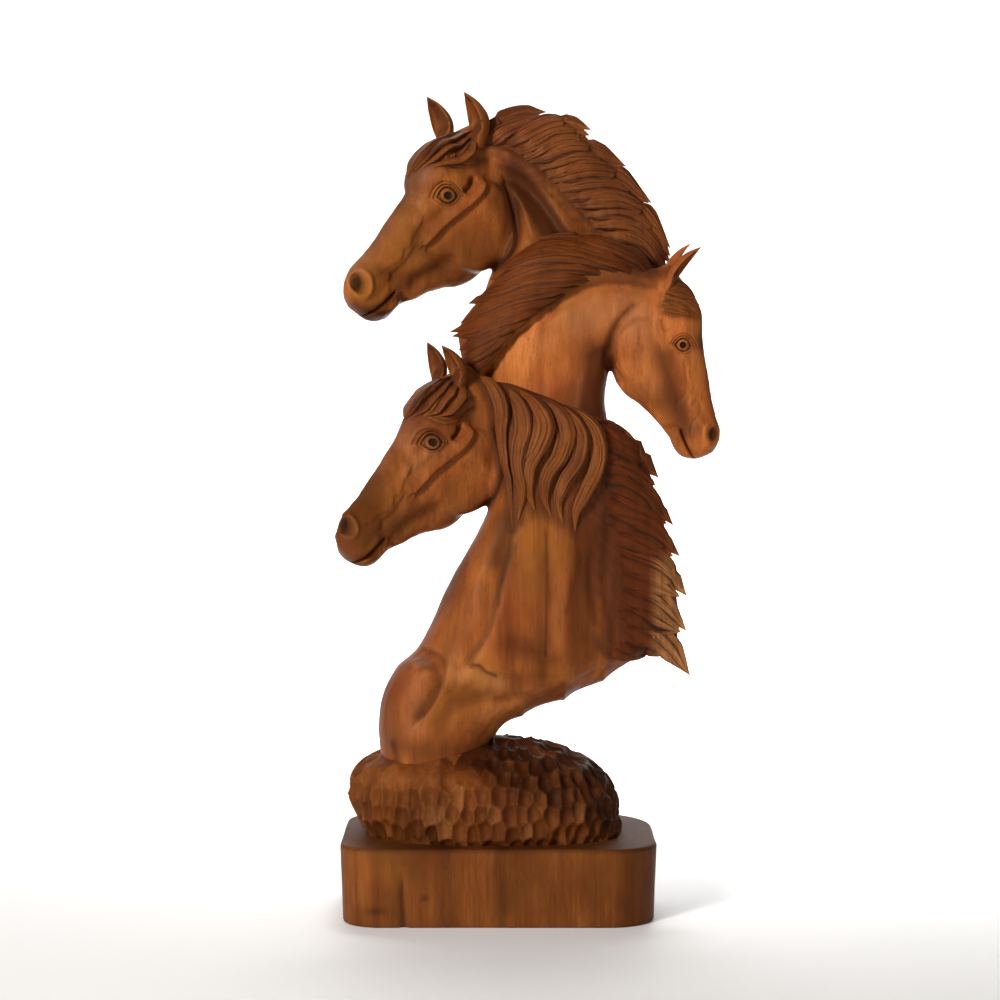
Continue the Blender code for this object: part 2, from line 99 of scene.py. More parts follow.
# Mound: level, left, right, front and back of its outline.
MOUND_LEVELS = [
    (54, -99, 91, -62, 60),
    (70, -106, 90, -66, 63),
    (86, -113, 87, -66, 64),
    (101, -110, 78, -61, 59),
    (112, -99, 63, -52, 51),
    (120, -78, 45, -40, 40),
    (126, -45, 24, -23, 25),
]
MOUND_SQUARENESS = 2.7
MOUND_AROUND = 520
MOUND_UP = 76
PROFILE_STEPS = 241

# Rings over the top of the mound, as shares of its last ring, and the rings that close it.
MOUND_OVER = (0.95, 0.90, 0.85, 0.80, 0.74, 0.68, 0.62, 0.56, 0.50, 0.44, 0.38)
MOUND_CLOSING = (0.7, 0.4, 0.1, 0.01)

# Gouge cuts: size, reach, and the range of curve, slopes across and up, depth and tone.
SCOOP_WIDTH = 10.0
SCOOP_HEIGHT = 15.5
SCOOP_DEPTH = 4.6
SCOOP_REACH = 30

# Half width and half height of a cut as shares of its size, the sharpness of its upper and
# lower end, and how far it may stray to the side and upward, as shares of the spacing.
SCOOP_HALVES = (0.58, 0.62)
SCOOP_ENDS = (1.12, 0.90)
SCOOP_STRAY = (0.22, 0.24)
SCOOP_LEAST = (0.70, -0.35, -0.12, -0.10, 0)
SCOOP_MOST = (1.10, 0.35, 0.12, 0.15, 1)

# Foot of the neck on the mound: height, middle and half width along X, and where it ends in Y.
FOOT_LEVELS = (95, 107)
FOOT_MIDDLE = -50
FOOT_HALF = (36, 46)
FOOT_DEPTH = (-12, 6)

# Necks: front (x, z), back (x, z), y, half thickness at the front and at the back.
LOWER_NECK = [
    (-28, 359, -20, 393, -20, 17, 14),
    (-16, 326, 11, 388, -15, 20, 14),
    (-9, 300, 44, 375, -17, 30, 17),
    (-15, 283, 73, 359, -16, 38, 18),
    (-25, 265, 89, 318, -14, 42, 20),
    (-37, 243, 97, 270, -12, 46, 22),
    (-48, 219, 103, 222, -10, 50, 26),
    (-60, 195, 107, 191, -8, 52, 26),
    (-75, 182, 77, 170, -8, 52, 30),
    (-86, 161, 49, 156, -6, 48, 30),
    (-90, 139, 15, 143, -6, 43, 30),
    (-89, 122, -4, 129, -6, 40, 32),
    (-86, 106, -16, 106, -6, 38, 34),
]
UPPER_NECK = [
    (-16, 534, -16, 567, 22, 13, 10),
    (0, 512, 9, 569, 24, 17, 11),
    (2, 490, 37, 553, 26, 21, 12),
    (-5, 474, 65, 527, 25, 28, 14),
    (-11, 457, 87, 498, 24, 34, 16),
    (-16, 435, 98, 464, 24, 34, 18),
    (-21, 405, 80, 427, 24, 34, 20),
    (-19, 372, 70, 394, 24, 34, 24),
    (-6, 338, 74, 361, 22, 36, 28),
    (-5, 302, 83, 324, 18, 38, 30),
    (-16, 257, 91, 272, 14, 40, 32),
    (-44, 213, 93, 213, 8, 42, 32),
    (-63, 161, 74, 176, 4, 38, 28),
]
MIDDLE_NECK = [
    (106, 424, 126, 461, -2, 12, 9),
    (94, 431, 113, 463, -1, 15, 11),
    (86, 422, 92, 468, 0, 18, 13),
    (82, 411, 66, 466, 1, 20, 14),
    (80, 400, 41, 457, 2, 22, 15),
    (78, 387, 18, 442, 3, 24, 16),
    (77, 374, 1, 424, 4, 25, 17),
    (80, 356, -8, 404, 5, 25, 18),
    (81, 332, -6, 376, 4, 25, 20),
    (74, 303, -4, 339, 2, 25, 20),
]

# Manes: the same columns, from the root on the neck to the outer edge.
LOWER_MANE = [
    (44, 369, 73, 364, -12, 20, 7),
    (58, 347, 97, 345, -11, 21, 7),
    (67, 325, 108, 324, -10, 21, 6),
    (73, 303, 119, 296, -9, 20, 6),
    (78, 281, 123, 270, -9, 19, 5),
    (80, 259, 128, 246, -9, 18, 5),
    (82, 237, 132, 225, -9, 17, 5),
    (82, 215, 132, 208, -9, 17, 5),
    (88, 200, 129, 194, -9, 16, 4),
]
UPPER_MANE = [
    (-15, 560, -10, 577, 20, 14, 6),
    (0, 553, 6, 585, 20, 18, 6),
    (15, 544, 25, 588, 20, 20, 6),
    (30, 532, 49, 580, 21, 21, 6),
    (41, 520, 63, 566, 22, 21, 6),
    (52, 507, 78, 551, 23, 22, 6),
    (63, 495, 95, 532, 24, 23, 6),
    (73, 484, 107, 512, 24, 24, 7),
    (78, 470, 118, 492, 24, 24, 8),
    (74, 456, 124, 470, 24, 24, 9),
    (67, 435, 108, 442, 24, 24, 10),
    (58, 413, 82, 416, 24, 24, 10),
]
MIDDLE_MANE = [
    (120, 457, 114, 470, -3, 13, 6),
    (102, 455, 98, 483, -2, 17, 7),
    (84, 458, 77, 493, -1, 20, 8),
    (66, 457, 53, 494, 0, 21, 8),
    (48, 448, 29, 492, 1, 22, 9),
    (33, 438, 13, 483, 2, 23, 9),
    (18, 429, 0, 469, 3, 24, 10),
    (6, 420, -12, 454, 3, 24, 10),
    (-4, 409, -26, 438, 3, 22, 9),
    (-10, 397, -31, 424, 3, 20, 9),
    (-13, 382, -29, 408, 3, 18, 8),
]

NECKS = {
    "upper": (UPPER_NECK, UPPER_MANE),
    "middle": (MIDDLE_NECK, MIDDLE_MANE),
    "lower": (LOWER_NECK, LOWER_MANE),
}

# Heads: poll point, length, pitch and yaw in degrees, and the way it faces along X.
HEADS = {
    "upper": ((-24.4, 20.0, 568.7), 157.0, 50.0, 32.0, -1),
    "middle": ((127.6, -2.0, 460.8), 127.0, 77.6, 6.5, 1),
    "lower": ((-34.3, -22.0, 388.9), 152.0, 49.5, 36.0, -1),
}

# Ribs of a head, as shares of its length: top (along, up), bottom (along, up), and half
# widths at the levels in RIB_LEVELS, which run from the top edge to the bottom edge.
RIB_LEVELS = (0.05, 0.22, 0.42, 0.65, 0.88)
HEAD_RIBS = [
    (-0.13, 0.00, -0.08, -0.22, 0.050, 0.070, 0.080, 0.075, 0.050),
    (-0.05, 0.038, 0.02, -0.30, 0.070, 0.100, 0.100, 0.090, 0.060),
    (0.05, 0.083, 0.12, -0.365, 0.100, 0.125, 0.115, 0.105, 0.075),
    (0.13, 0.114, 0.22, -0.415, 0.116, 0.145, 0.125, 0.120, 0.090),
    (0.22, 0.121, 0.32, -0.448, 0.116, 0.157, 0.130, 0.130, 0.100),
    (0.32, 0.102, 0.42, -0.457, 0.100, 0.158, 0.125, 0.130, 0.100),
    (0.42, 0.087, 0.50, -0.445, 0.078, 0.130, 0.120, 0.118, 0.090),
    (0.52, 0.084, 0.57, -0.408, 0.062, 0.100, 0.110, 0.100, 0.075),
    (0.61, 0.081, 0.625, -0.354, 0.053, 0.083, 0.098, 0.088, 0.064),
    (0.70, 0.078, 0.69, -0.308, 0.048, 0.072, 0.085, 0.075, 0.056),
    (0.78, 0.081, 0.77, -0.264, 0.048, 0.070, 0.078, 0.068, 0.053),
    (0.85, 0.085, 0.84, -0.222, 0.052, 0.080, 0.083, 0.070, 0.057),
    (0.905, 0.080, 0.90, -0.210, 0.052, 0.086, 0.088, 0.068, 0.057),
    (0.955, 0.058, 0.955, -0.194, 0.045, 0.078, 0.078, 0.062, 0.050),
    (0.99, 0.02, 1.00, -0.14, 0.030, 0.055, 0.060, 0.050, 0.035),
    (1.005, -0.03, 1.012, -0.085, 0.015, 0.030, 0.030, 0.030, 0.015),
]

# Round of the jaw: centre along and up, radius and half width, as shares of the length.
CHEEKS = {
    "upper": (0.322, -0.258, 0.216, 0.165),
    "middle": (0.34, -0.248, 0.195, 0.132),
    "lower": (0.322, -0.258, 0.216, 0.165),
}

# Brow of the upper horse: centre along and up, and half sizes along, up and across.
BROW = (0.24, 0.055, 0.17, 0.092, 0.125)

# Carved part of a head, as shares of its length: along, up and out from its middle.
FACE_LEAST = (-0.02, -0.52, -0.21)
FACE_MOST = (1.06, 0.17, 0.21)

# Parts of it that get a finer grain: round the eyes and nostrils, and the mouth.
EYE_REACH = 0.10
NOSTRIL_REACH = 0.075
MOUTH_FROM = 0.79
MOUTH_LEVELS = (-0.18, -0.04)

# Ears: base, tip, width and the way the cup opens.
EARS = {
    "upper": [
        ((-17, 8, 560), (-26, 3, 601), 21, (-0.9, -0.44, 0.1)),
        ((-40, 31, 561), (-54, 34, 600), 19, (-0.80, -0.60, 0.1)),
    ],
    "middle": [
        ((121, -11, 455), (146, -15, 488), 13, (0.9, -0.35, -0.2)),
        ((121, 7, 456), (140, 11, 491), 13, (0.95, -0.05, -0.3)),
    ],
    "lower": [
        ((-30, -33, 382), (-42, -37, 417), 18, (-0.9, -0.44, 0.1)),
        ((-45, -12, 384), (-53, -11, 419), 16, (-0.80, -0.60, 0.1)),
    ],
}
EAR_AROUND = 48
EAR_CUP = 0.75
EAR_WIDTHS = (0.50, 0.74, 0.96, 1.0, 0.84, 0.54, 0.03)

# Strokes of the carver on both sides of a head: path (along, up) as shares of its length,
# height (negative for a cut), and how far it fades above and below the path.
HEAD_STROKES = [
    ([(0.27, 0.035), (0.33, 0.050), (0.41, 0.035)], 0.012, 0.030, 0.030),
    ([(0.190, -0.102), (0.225, -0.104), (0.250, -0.098)], -0.050, 0.018, 0.013),
    (
        [(0.17, -0.138), (0.21, -0.146), (0.28, -0.140), (0.36, -0.124), (0.45, -0.110), (0.57, -0.100)],
        0.020, 0.030, 0.011,
    ),
    ([(0.16, -0.168), (0.26, -0.170), (0.37, -0.154), (0.48, -0.136), (0.57, -0.126)], -0.009, 0.010, 0.022),
    ([(0.41, -0.070), (0.50, -0.052)], -0.012, 0.026, 0.026),
    ([(0.60, -0.085), (0.70, -0.092), (0.78, -0.075)], -0.012, 0.016, 0.030),
    ([(0.50, -0.385), (0.60, -0.32), (0.75, -0.245)], 0.005, 0.030, 0.030),
    ([(0.54, -0.26), (0.63, -0.22), (0.72, -0.185)], -0.016, 0.035, 0.035),
]
MOUTH = [(0.825, -0.138), (0.88, -0.132), (0.94, -0.118), (0.985, -0.104), (1.02, -0.085)]
LIP_STROKES = [
    (
        [(0.50, -0.02), (0.586, -0.033), (0.618, -0.045), (0.653, -0.033), (0.686, -0.050), (0.733, -0.042),
         (0.767, -0.025), (0.817, -0.010)],
        0.008, 0.030, 0.010,
    ),
    ([(0.86, -0.105), (0.93, -0.095), (0.99, -0.05)], 0.010, 0.020, 0.016),
    ([(0.86, -0.185), (0.92, -0.175), (0.97, -0.135)], 0.020, 0.018, 0.022),
    ([(0.795, -0.235), (0.805, -0.20), (0.80, -0.17)], -0.016, 0.014, 0.018),
    (MOUTH, -0.032, 0.007, 0.007),
]
VEINS = [
    (
        [(0.440, -0.03), (0.52, -0.04), (0.583, -0.03), (0.645, -0.08), (0.662, -0.12), (0.706, -0.138)],
        -0.004, 0.008, 0.008,
    ),
    (
        [(0.734, -0.062), (0.69, -0.03), (0.675, -0.01), (0.72, 0.0), (0.762, -0.015), (0.80, -0.06),
         (0.847, -0.086)],
        -0.004, 0.008, 0.008,
    ),
]
HEAD_STRENGTH = {"upper": 1.0, "middle": 0.25, "lower": 1.0}

# Eye: centre, tilt and half length for each head, and the height of the lids over the corners.
EYES = {
    "upper": (0.334, -0.034, math.radians(45.0), 0.049),
    "middle": (0.350, -0.018, math.radians(70.0), 0.048),
    "lower": (0.342, -0.016, math.radians(49.0), 0.050),
}
EYE_DROP = 0.005
EYE_UPPER = 0.046
EYE_LOWER = 0.033
PUPIL = 0.0200
IRIS = 0.035
CREASE = 0.0110
SECOND_CREASE = 0.0240

# Eyeball: height, radius and depth of its rim.
EYEBALL = (0.030, 0.058, 0.018)

# Ridges and creases outside the almond: place, width, height over the upper and the lower lid.
LIDS = [
    (0.0045, 0.0045, 0.013, 0.010),
    (CREASE, 0.0028, -0.009, -0.003),
    (0.0165, 0.0045, 0.009, 0.003),
    (SECOND_CREASE, 0.0035, -0.006, 0.0),
]

# Nostril: centre, tilt and size for each head.
NOSTRILS = {
    "upper": (0.914, 0.027, math.radians(-41.0), 1.12),
    "middle": (0.888, 0.040, math.radians(-12.0), 1.05),
    "lower": (0.903, 0.062, math.radians(-41.0), 1.0),
}
NOSTRIL_LONG = 0.054
NOSTRIL_SHORT = 0.037

# Edges of the jaws over their necks, and a short check in the bust: paths (x, z).
UPPER_THROAT = [(4, 534), (8, 524), (11, 513), (12, 499), (10, 488), (4, 479), (-4, 473)]
LOWER_THROAT = [(-3, 356), (0, 344), (2, 333), (1, 321), (-4, 308), (-12, 299)]
BUST_CHECK = [(-20, 187), (-14, 186), (-10, 182), (-3, 179)]

# Strokes on necks and chest, seen from the side: path (x, z), height, fade on each side.
NECK_STROKES = {
    "upper": [
        ([(-2, 552), (22, 541), (35, 526), (44, 512), (51, 501)], 3.4, 6, 5),
        ([(4, 543), (22, 529), (35, 514), (46, 497)], -2.6, 4, 5),
        ([(6, 532), (15, 519), (20, 508), (24, 497)], 2.6, 5, 4),
        ([(-7, 565), (11, 559), (29, 548), (45, 530), (60, 515), (76, 498)], -4.5, 4, 4),
        (UPPER_THROAT, -3.5, 5, 1.5),
    ],
    "middle": [
        ([(0, 413), (29, 432), (65, 446), (105, 447)], 2.0, 12, 12),
        ([(18, 398), (44, 417), (73, 424), (83, 428)], 1.8, 9, 9),
        ([(50, 372), (58, 396), (70, 412)], -2.6, 8, 7),
        ([(116, 457), (92, 460), (68, 457), (38, 442), (8, 422), (-2, 412)], -1.6, 4, 3),
        ([(98, 444), (89, 435), (83, 425), (80, 412), (82, 398), (87, 388)], -3.5, 5, 4),
    ],
    "lower": [
        (LOWER_THROAT, -3.5, 5, 1.5),
        ([(9, 286), (4, 262), (-3, 233), (-12, 207), (-23, 189), (-36, 167)], -2.0, 3.5, 11),
        ([(-62, 197), (-46, 193), (-42, 186), (-44, 170), (-56, 150)], -4.2, 2, 9),
        ([(-36, 161), (-14, 172), (29, 178), (40, 187)], -2.4, 6, 8),
        ([(0, 167), (25, 174), (58, 193)], 1.6, 7, 7),
        ([(-44, 145), (-22, 156), (7, 160)], -1.6, 6, 6),
        ([(-83, 170), (-72, 150), (-66, 128)], 2.0, 14, 14),
        ([(34, 306), (34, 248), (32, 190)], -2.2, 7, 7),
        ([(54, 263), (47, 205)], 2.0, 6, 6),
        ([(66, 300), (66, 263), (65, 205)], -2.0, 6, 6),
        ([(80, 290), (78, 240), (84, 205)], -2.0, 4, 6),
        (BUST_CHECK, -1.5, 1.2, 2.2),
    ],
}

# Underside of the bust: where its cuts meet, from the neck's foot to the last tip of the
# mane, and the line (x, z) of its edge.
UNDERCUTS = (-22, -3, 16, 47, 76, 110, 126)
UNDERSIDE = [(-20, 116), (-2, 128), (15, 141), (48, 157), (76, 172), (110, 193), (130, 205)]

# Darker places, seen from the side: path (x, z), strength, fade on each side; stains, and painted shade
# where marked.
STAINS_AND_SHADE = {
    "upper": [
        ([(10, 545), (22, 529), (35, 514), (46, 497)], 0.7, 7, 10),
        ([(12, 536), (26, 516), (38, 498)], 0.6, 12, 8),
        # Painted shade in the groove behind the jaw.
        (UPPER_THROAT, 1.0, 3, 6),
        ([(-30, 470), (-10, 480)], 0.42, 16, 16),
        ([(14, 515), (22, 500), (30, 488)], 0.45, 18, 18),
        ([(-56, 548), (-75, 522), (-93, 492)], 0.40, 9, 13),
        ([(-40, 515), (-62, 490)], 0.25, 10, 10),
        # Painted shade under the chin.
        ([(-104, 445), (-94, 439), (-84, 438)], 0.8, 5, 7),
        ([(-58, 532), (-62, 515)], 0.25, 9, 9),
        ([(-88, 470), (-70, 467), (-47, 473)], 0.45, 5, 7),
        ([(-61, 500), (-57, 488), (-50, 482)], 0.45, 4, 7),
        ([(-94, 436), (-75, 439), (-74, 450)], 0.6, 6, 6),
    ],
    "middle": [
        # Painted shadow in the hollow under the middle head.
        ([(73, 408), (72, 386), (72, 366)], 0.95, 10, 12),
        ([(60, 372), (66, 386), (74, 402)], 0.7, 11, 8),
        # Painted shade in the groove behind the jaw.
        ([(86, 430), (81, 418), (80, 405), (85, 390)], 0.6, 3, 5),
        # Painted shade on the side of the face that turns from the light.
        ([(119, 408), (123, 392), (130, 372), (137, 356)], 0.9, 9, 11),
        ([(148, 420), (156, 380), (162, 358)], 0.5, 6, 7),
        ([(100, 384), (112, 374)], 0.5, 9, 9),
        ([(96, 474), (116, 470)], 0.8, 7, 7),
        ([(139, 463), (145, 450), (148, 435), (149, 417)], 0.5, 5, 5),
    ],
    "lower": [
        ([(-100, 305), (-112, 285)], 0.72, 22, 22),
        ([(-32, 205), (-24, 235)], 0.32, 12, 12),
        ([(-82, 350), (-92, 322)], 0.3, 10, 10),
        ([(-108, 262), (-98, 254), (-84, 257)], 0.6, 6, 6),
        ([(-84, 284), (-62, 296), (-40, 300)], 0.35, 6, 8),
        ([(-62, 372), (-52, 358)], 0.45, 14, 14),
        ([(2, 292), (-4, 262)], 0.75, 9, 7),
        # Painted shade in the groove behind the jaw.
        (LOWER_THROAT, 1.0, 3, 5),
        ([(9, 284), (6, 266), (0, 241), (-1, 230)], 0.5, 1.5, 1.5),
        ([(33, 284), (34, 247), (33, 193)], 0.6, 1.3, 1.3),
        (BUST_CHECK, 0.85, 1.1, 1.6),
        ([(11, 272), (2, 250), (-3, 229), (-8, 210), (-22, 189)], 0.5, 1.5, 3),
        ([(8, 203), (22, 198)], 0.7, 9, 9),
        ([(66, 300), (62, 250), (58, 215)], 0.45, 18, 22),
        ([(52, 292), (56, 262), (48, 225)], 0.35, 3, 3),
        ([(70, 285), (63, 250), (68, 218)], 0.40, 4, 3),
        ([(30, 186), (70, 196)], 0.35, 9, 9),
        ([(-84, 190), (-86, 160), (-80, 132)], 0.45, 10, 14),
        ([(-44, 235), (-30, 262), (-18, 290)], 0.55, 12, 12),
        ([(-56, 188), (-45, 180), (-46, 164), (-56, 148)], 0.6, 3, 6),
        ([(-32, 160), (-8, 168), (30, 178)], 0.45, 6, 7),
        ([(-68, 124), (-30, 122)], 0.5, 9, 9),
        ([(-78, 128), (-74, 112)], 0.5, 3, 3),
    ],
}

# Lighter places, in the same columns; the one on the upper muzzle is a painted highlight.
PALES = {
    # Painted highlight on the left edge of the muzzle.
    "upper": [([(-104, 486), (-114, 472), (-117, 456)], 0.45, 6, 10)],
    "middle": [([(60, 435), (95, 440)], 0.2, 14, 14), ([(100, 420), (108, 392)], 0.15, 12, 12)],
    "lower": [
        ([(-34, 180), (0, 173)], 0.35, 6, 6),
        ([(-46, 345), (-66, 325)], 0.25, 5, 5),
        ([(-10, 150), (20, 162)], 0.15, 10, 10),
    ],
}

# Painted sheen: greyer places on the bridge of a nose, in the same columns.
PAINTED_SHEEN = {
    "upper": [([(-54, 550), (-75, 524), (-95, 494), (-108, 476)], 0.90, 10, 15)],
    "middle": [([(60, 440), (90, 445), (104, 430)], 0.30, 12, 12)],
    "lower": [
        ([(-66, 368), (-84, 340), (-100, 312)], 0.60, 8, 11),
        ([(-66, 230), (-48, 262), (-30, 292)], 0.35, 8, 8),
        ([(-60, 170), (-62, 140)], 0.25, 8, 8),
    ],
}

# Camera in metres and degrees, at the photograph's angle.
CAMERA_LENS = 100
CAMERA_PLACE = (0, -2.04, 0.44)
CAMERA_DOWN = 3.85

# Floor: its reach forward and up, half width, start of its curve and radius of the curve.
FLOOR_REACH = 4000
FLOOR_HALF = 4500
FLOOR_FLAT = 1200
FLOOR_BEND = 900

# Lights: place and target in metres, size, watts, colour and spread in degrees.
LIGHTS = {
    "key": ((-1.35, -2.0, 1.25), (0, 0, 0.33), 0.6, 70, (1, 0.96, 0.91), 180),
    "fill": ((1.7, -2.0, 0.7), (0, 0, 0.3), 1.4, 6.5, (1, 0.98, 0.96), 180),
    "wall": ((0, 1.0, 2.6), (0, 2.08, 2.08), 1.6, 60, (1, 1, 1), 180),
    "floor": ((0.3, 1.25, 2.4), (0.3, 1.15, 0), 1.0, 22, (1, 1, 1), 50),
}
WORLD_LIGHT = 0.15

# Colours of the wood before a piece's own tone, and the darker and paler ones over them.
LIGHT_WOOD = (0.420, 0.128, 0.026)
MIDDLE_WOOD = (0.270, 0.070, 0.0135)
DEEP_WOOD = (0.095, 0.022, 0.005)
GOLD_WOOD = (0.330, 0.120, 0.016)
RED_WOOD = (0.170, 0.034, 0.010)
STAIN_AND_SHADE_WOOD = (0.057, 0.0132, 0.003)
PORE_COLOUR = (0.05, 0.014, 0.006, 1)
PAINTED_SHEEN_COLOUR = (0.20, 0.095, 0.062, 1)
SAPWOOD_AND_HIGHLIGHT_COLOUR = (0.62, 0.27, 0.095, 1)
PATINA_AND_SHADE_COLOUR = (0.040, 0.011, 0.006, 1)
GROOVE_SHADE_COLOUR = (0.030, 0.008, 0.004, 1)
MARK_COLOUR = (0.012, 0.006, 0.004, 1)

# Patterns in the wood: scale along X, Y and Z, detail, roughness and distortion of a noise.
GRAIN = {
    "bands": ((62, 62, 3.2), 3.0, 0.55, 0.6),
    "wide": ((17, 17, 2.2), 2.0, 0.5, 0.8),
    "streaks": ((310, 310, 14), 3.0, 0.6, 0.0),
    "fibres": ((1250, 1250, 60), 2.0, 0.6, 0.0),
    "blotches": ((21, 21, 13), 3.0, 0.55, 0.0),
    "pores": ((1500, 1500, 110), 1.0, 0.5, 0.0),
    "golden": ((19, 23, 12), 2.0, 0.5, 0.0),
    "ruddy": ((26, 21, 15), 2.0, 0.5, 0.0),
    "smudges": ((34, 34, 16), 3.0, 0.6, 0.4),
}

# Woods by name: tone or tones, contrast, roughness, combed hair or not, painted shade at the roots.
WOODS = {
    "upper": (0.92, 1.15),
    "middle": ((1.28, 1.25, 1.40), 1.05),
    "lower": ((0.93, 0.92, 0.98), 1.2),
    # The upper mane is lighter and bluer than the others: a painted sheen.
    "upper_combed": ((0.88, 0.90, 1.20), 0.8, 0.50, True, 0.80),
    "middle_combed": ((0.50, 0.36, 0.25), 0.8, 0.50, True, 0.55),
    "lower_combed": ((0.56, 0.42, 0.36), 0.8, 0.50, True, 0.45),
    "locks": (0.80, 0.9, 0.48, True),
    "fringe": (0.85, 0.8, 0.50, True, 0.30),
    "gouged": ((0.47, 0.42, 0.36), 1.2, 0.52),
    "sawn": (0.53, 1.1, 0.60),
}

# Tufts of a mane: path (x, z) from root to tip, and width at the root, middle and tip.
UPPER_TUFTS = [
    ([(-16, 571), (0, 582), (16, 588), (34, 588)], (11.0, 10.3, 7.3)),
    ([(-15, 562), (2, 572), (18, 580), (32, 584)], (11.8, 10.3, 5.9)),
    ([(-6, 558), (15, 570), (35, 580), (53, 580), (67, 575)], (11.0, 11.8, 8.1)),
    ([(0, 552), (22, 564), (40, 573), (55, 574), (66, 571)], (10.3, 10.3, 6.6)),
    ([(6, 548), (28, 560), (44, 567), (59, 569), (65, 568)], (10.3, 9.6, 5.1)),
    ([(10, 548), (33, 557), (54, 564), (73, 559), (93, 548)], (11.0, 13.2, 10.3)),
    ([(19, 542), (40, 552), (59, 557), (75, 553), (91, 547)], (10.3, 11.0, 7.3)),
    ([(25, 537), (44, 545), (62, 551), (77, 549), (89, 546)], (10.3, 9.6, 5.9)),
    ([(29, 534), (50, 543), (70, 546), (88, 541), (112, 521)], (11.0, 14.0, 11.0)),
    ([(35, 527), (56, 535), (75, 537), (92, 532), (110, 521)], (10.3, 11.8, 8.1)),
    ([(41, 521), (60, 527), (77, 529), (92, 526), (105, 520)], (10.3, 10.3, 6.6)),
    ([(46, 518), (66, 523), (88, 523), (107, 513), (126, 488)], (11.0, 14.7, 11.8)),
    ([(53, 510), (73, 515), (95, 514), (112, 502), (126, 482)], (11.0, 13.2, 11.0)),
    ([(59, 502), (79, 507), (99, 505), (114, 492), (126, 477)], (11.0, 12.5, 10.3)),
    ([(65, 495), (85, 499), (103, 494), (114, 483), (122, 473)], (11.0, 11.8, 9.6)),
]
MIDDLE_TUFTS = [
    ([(113, 463), (102, 477), (73, 490), (47, 494), (27, 495)], (10.3, 13.2, 7.3)),
    ([(109, 461), (87, 477), (58, 487), (33, 489), (7, 480)], (10.3, 14.0, 9.6)),
    ([(102, 463), (73, 479), (40, 483), (15, 477), (-7, 464)], (10.3, 14.0, 10.3)),
    ([(91, 466), (62, 474), (33, 475), (7, 466), (-13, 454)], (10.3, 13.2, 10.3)),
    ([(77, 468), (51, 467), (22, 464), (-4, 454), (-23, 447)], (10.3, 13.2, 10.3)),
    ([(69, 465), (40, 460), (11, 453), (-11, 443), (-29, 433)], (10.3, 12.5, 9.6)),
    ([(60, 461), (33, 452), (7, 444), (-15, 433), (-37, 426)], (10.3, 12.5, 9.6)),
    ([(47, 455), (22, 445), (0, 436), (-18, 427), (-35, 423)], (9.6, 11.8, 8.1)),
    ([(36, 450), (15, 438), (-2, 428), (-18, 419), (-30, 413)], (9.6, 11.8, 8.8)),
    ([(22, 441), (4, 428), (-9, 417), (-21, 408), (-31, 405)], (8.8, 11.0, 8.8)),
    ([(7, 429), (-4, 417), (-13, 407), (-22, 399), (-29, 396)], (8.1, 9.6, 7.3)),
]
LOWER_TUFTS = [
    ([(50, 366), (68, 358), (87, 350), (103, 341)], (9.0, 14.0, 11.8)),
    ([(54, 361), (74, 356), (92, 348), (109, 331)], (10.0, 15.0, 11.0)),
    ([(54, 354), (76, 347), (98, 337), (116, 320)], (12.5, 17.0, 12.5)),
    ([(55, 346), (77, 336), (98, 326), (114, 314)], (14.7, 17.6, 11.0)),
    ([(58, 335), (82, 323), (106, 308), (127, 285)], (16.2, 19.1, 11.8)),
    ([(60, 322), (85, 308), (106, 296), (122, 286)], (16.2, 19.1, 11.0)),
    ([(63, 308), (87, 295), (111, 282), (132, 262)], (16.2, 19.1, 11.8)),
    ([(64, 295), (89, 282), (111, 270), (127, 262)], (16.2, 19.1, 10.3)),
    ([(66, 282), (92, 267), (117, 256), (137, 233)], (16.2, 20.6, 13.2)),
    ([(67, 269), (93, 254), (115, 243), (132, 232)], (16.2, 20.6, 11.0)),
    ([(69, 256), (95, 240), (118, 228), (137, 207)], (16.2, 20.6, 12.5)),
    ([(70, 243), (96, 227), (117, 215), (133, 206)], (16.2, 19.1, 11.0)),
    ([(72, 229), (98, 214), (121, 198), (140, 174)], (16.2, 20.6, 13.2)),
    ([(72, 218), (95, 204), (113, 196), (126, 189)], (16.2, 19.1, 9.6)),
    ([(69, 209), (86, 199), (101, 193), (111, 192)], (16.2, 16.2, 8.1)),
]
SIDE_LOCKS = [
    ([(-20, 396), (-9, 389), (-1, 375), (1, 358), (3, 338), (7, 319), (9, 286)], (8.8, 10.3, 5.9)),
    (
        [(-14, 397), (2, 387), (13, 374), (17, 358), (14, 343), (13, 328), (16, 312), (13, 291)],
        (9.6, 11.0, 6.6),
    ),
    (
        [(-7, 396), (12, 384), (25, 372), (31, 358), (27, 343), (20, 329), (20, 314), (25, 298)],
        (9.6, 13.2, 8.1),
    ),
    (
        [(1, 393), (25, 379), (41, 367), (47, 353), (43, 337), (34, 323), (32, 308), (37, 293)],
        (9.6, 11.8, 7.3),
    ),
    (
        [(12, 389), (36, 375), (51, 363), (58, 349), (55, 333), (46, 319), (42, 305), (45, 289)],
        (9.6, 11.0, 7.3),
    ),
    (
        [(25, 384), (49, 371), (64, 358), (70, 343), (69, 327), (62, 313), (55, 298), (54, 283)],
        (9.6, 11.0, 7.3),
    ),
]

# Tufts of each mane, its middle along Y, and how it lies.
MANES = {
    "upper": (UPPER_TUFTS, 23, "mane"),
    "middle": (MIDDLE_TUFTS, 2, "mane"),
    "lower": (LOWER_TUFTS, -9, "flat"),
}

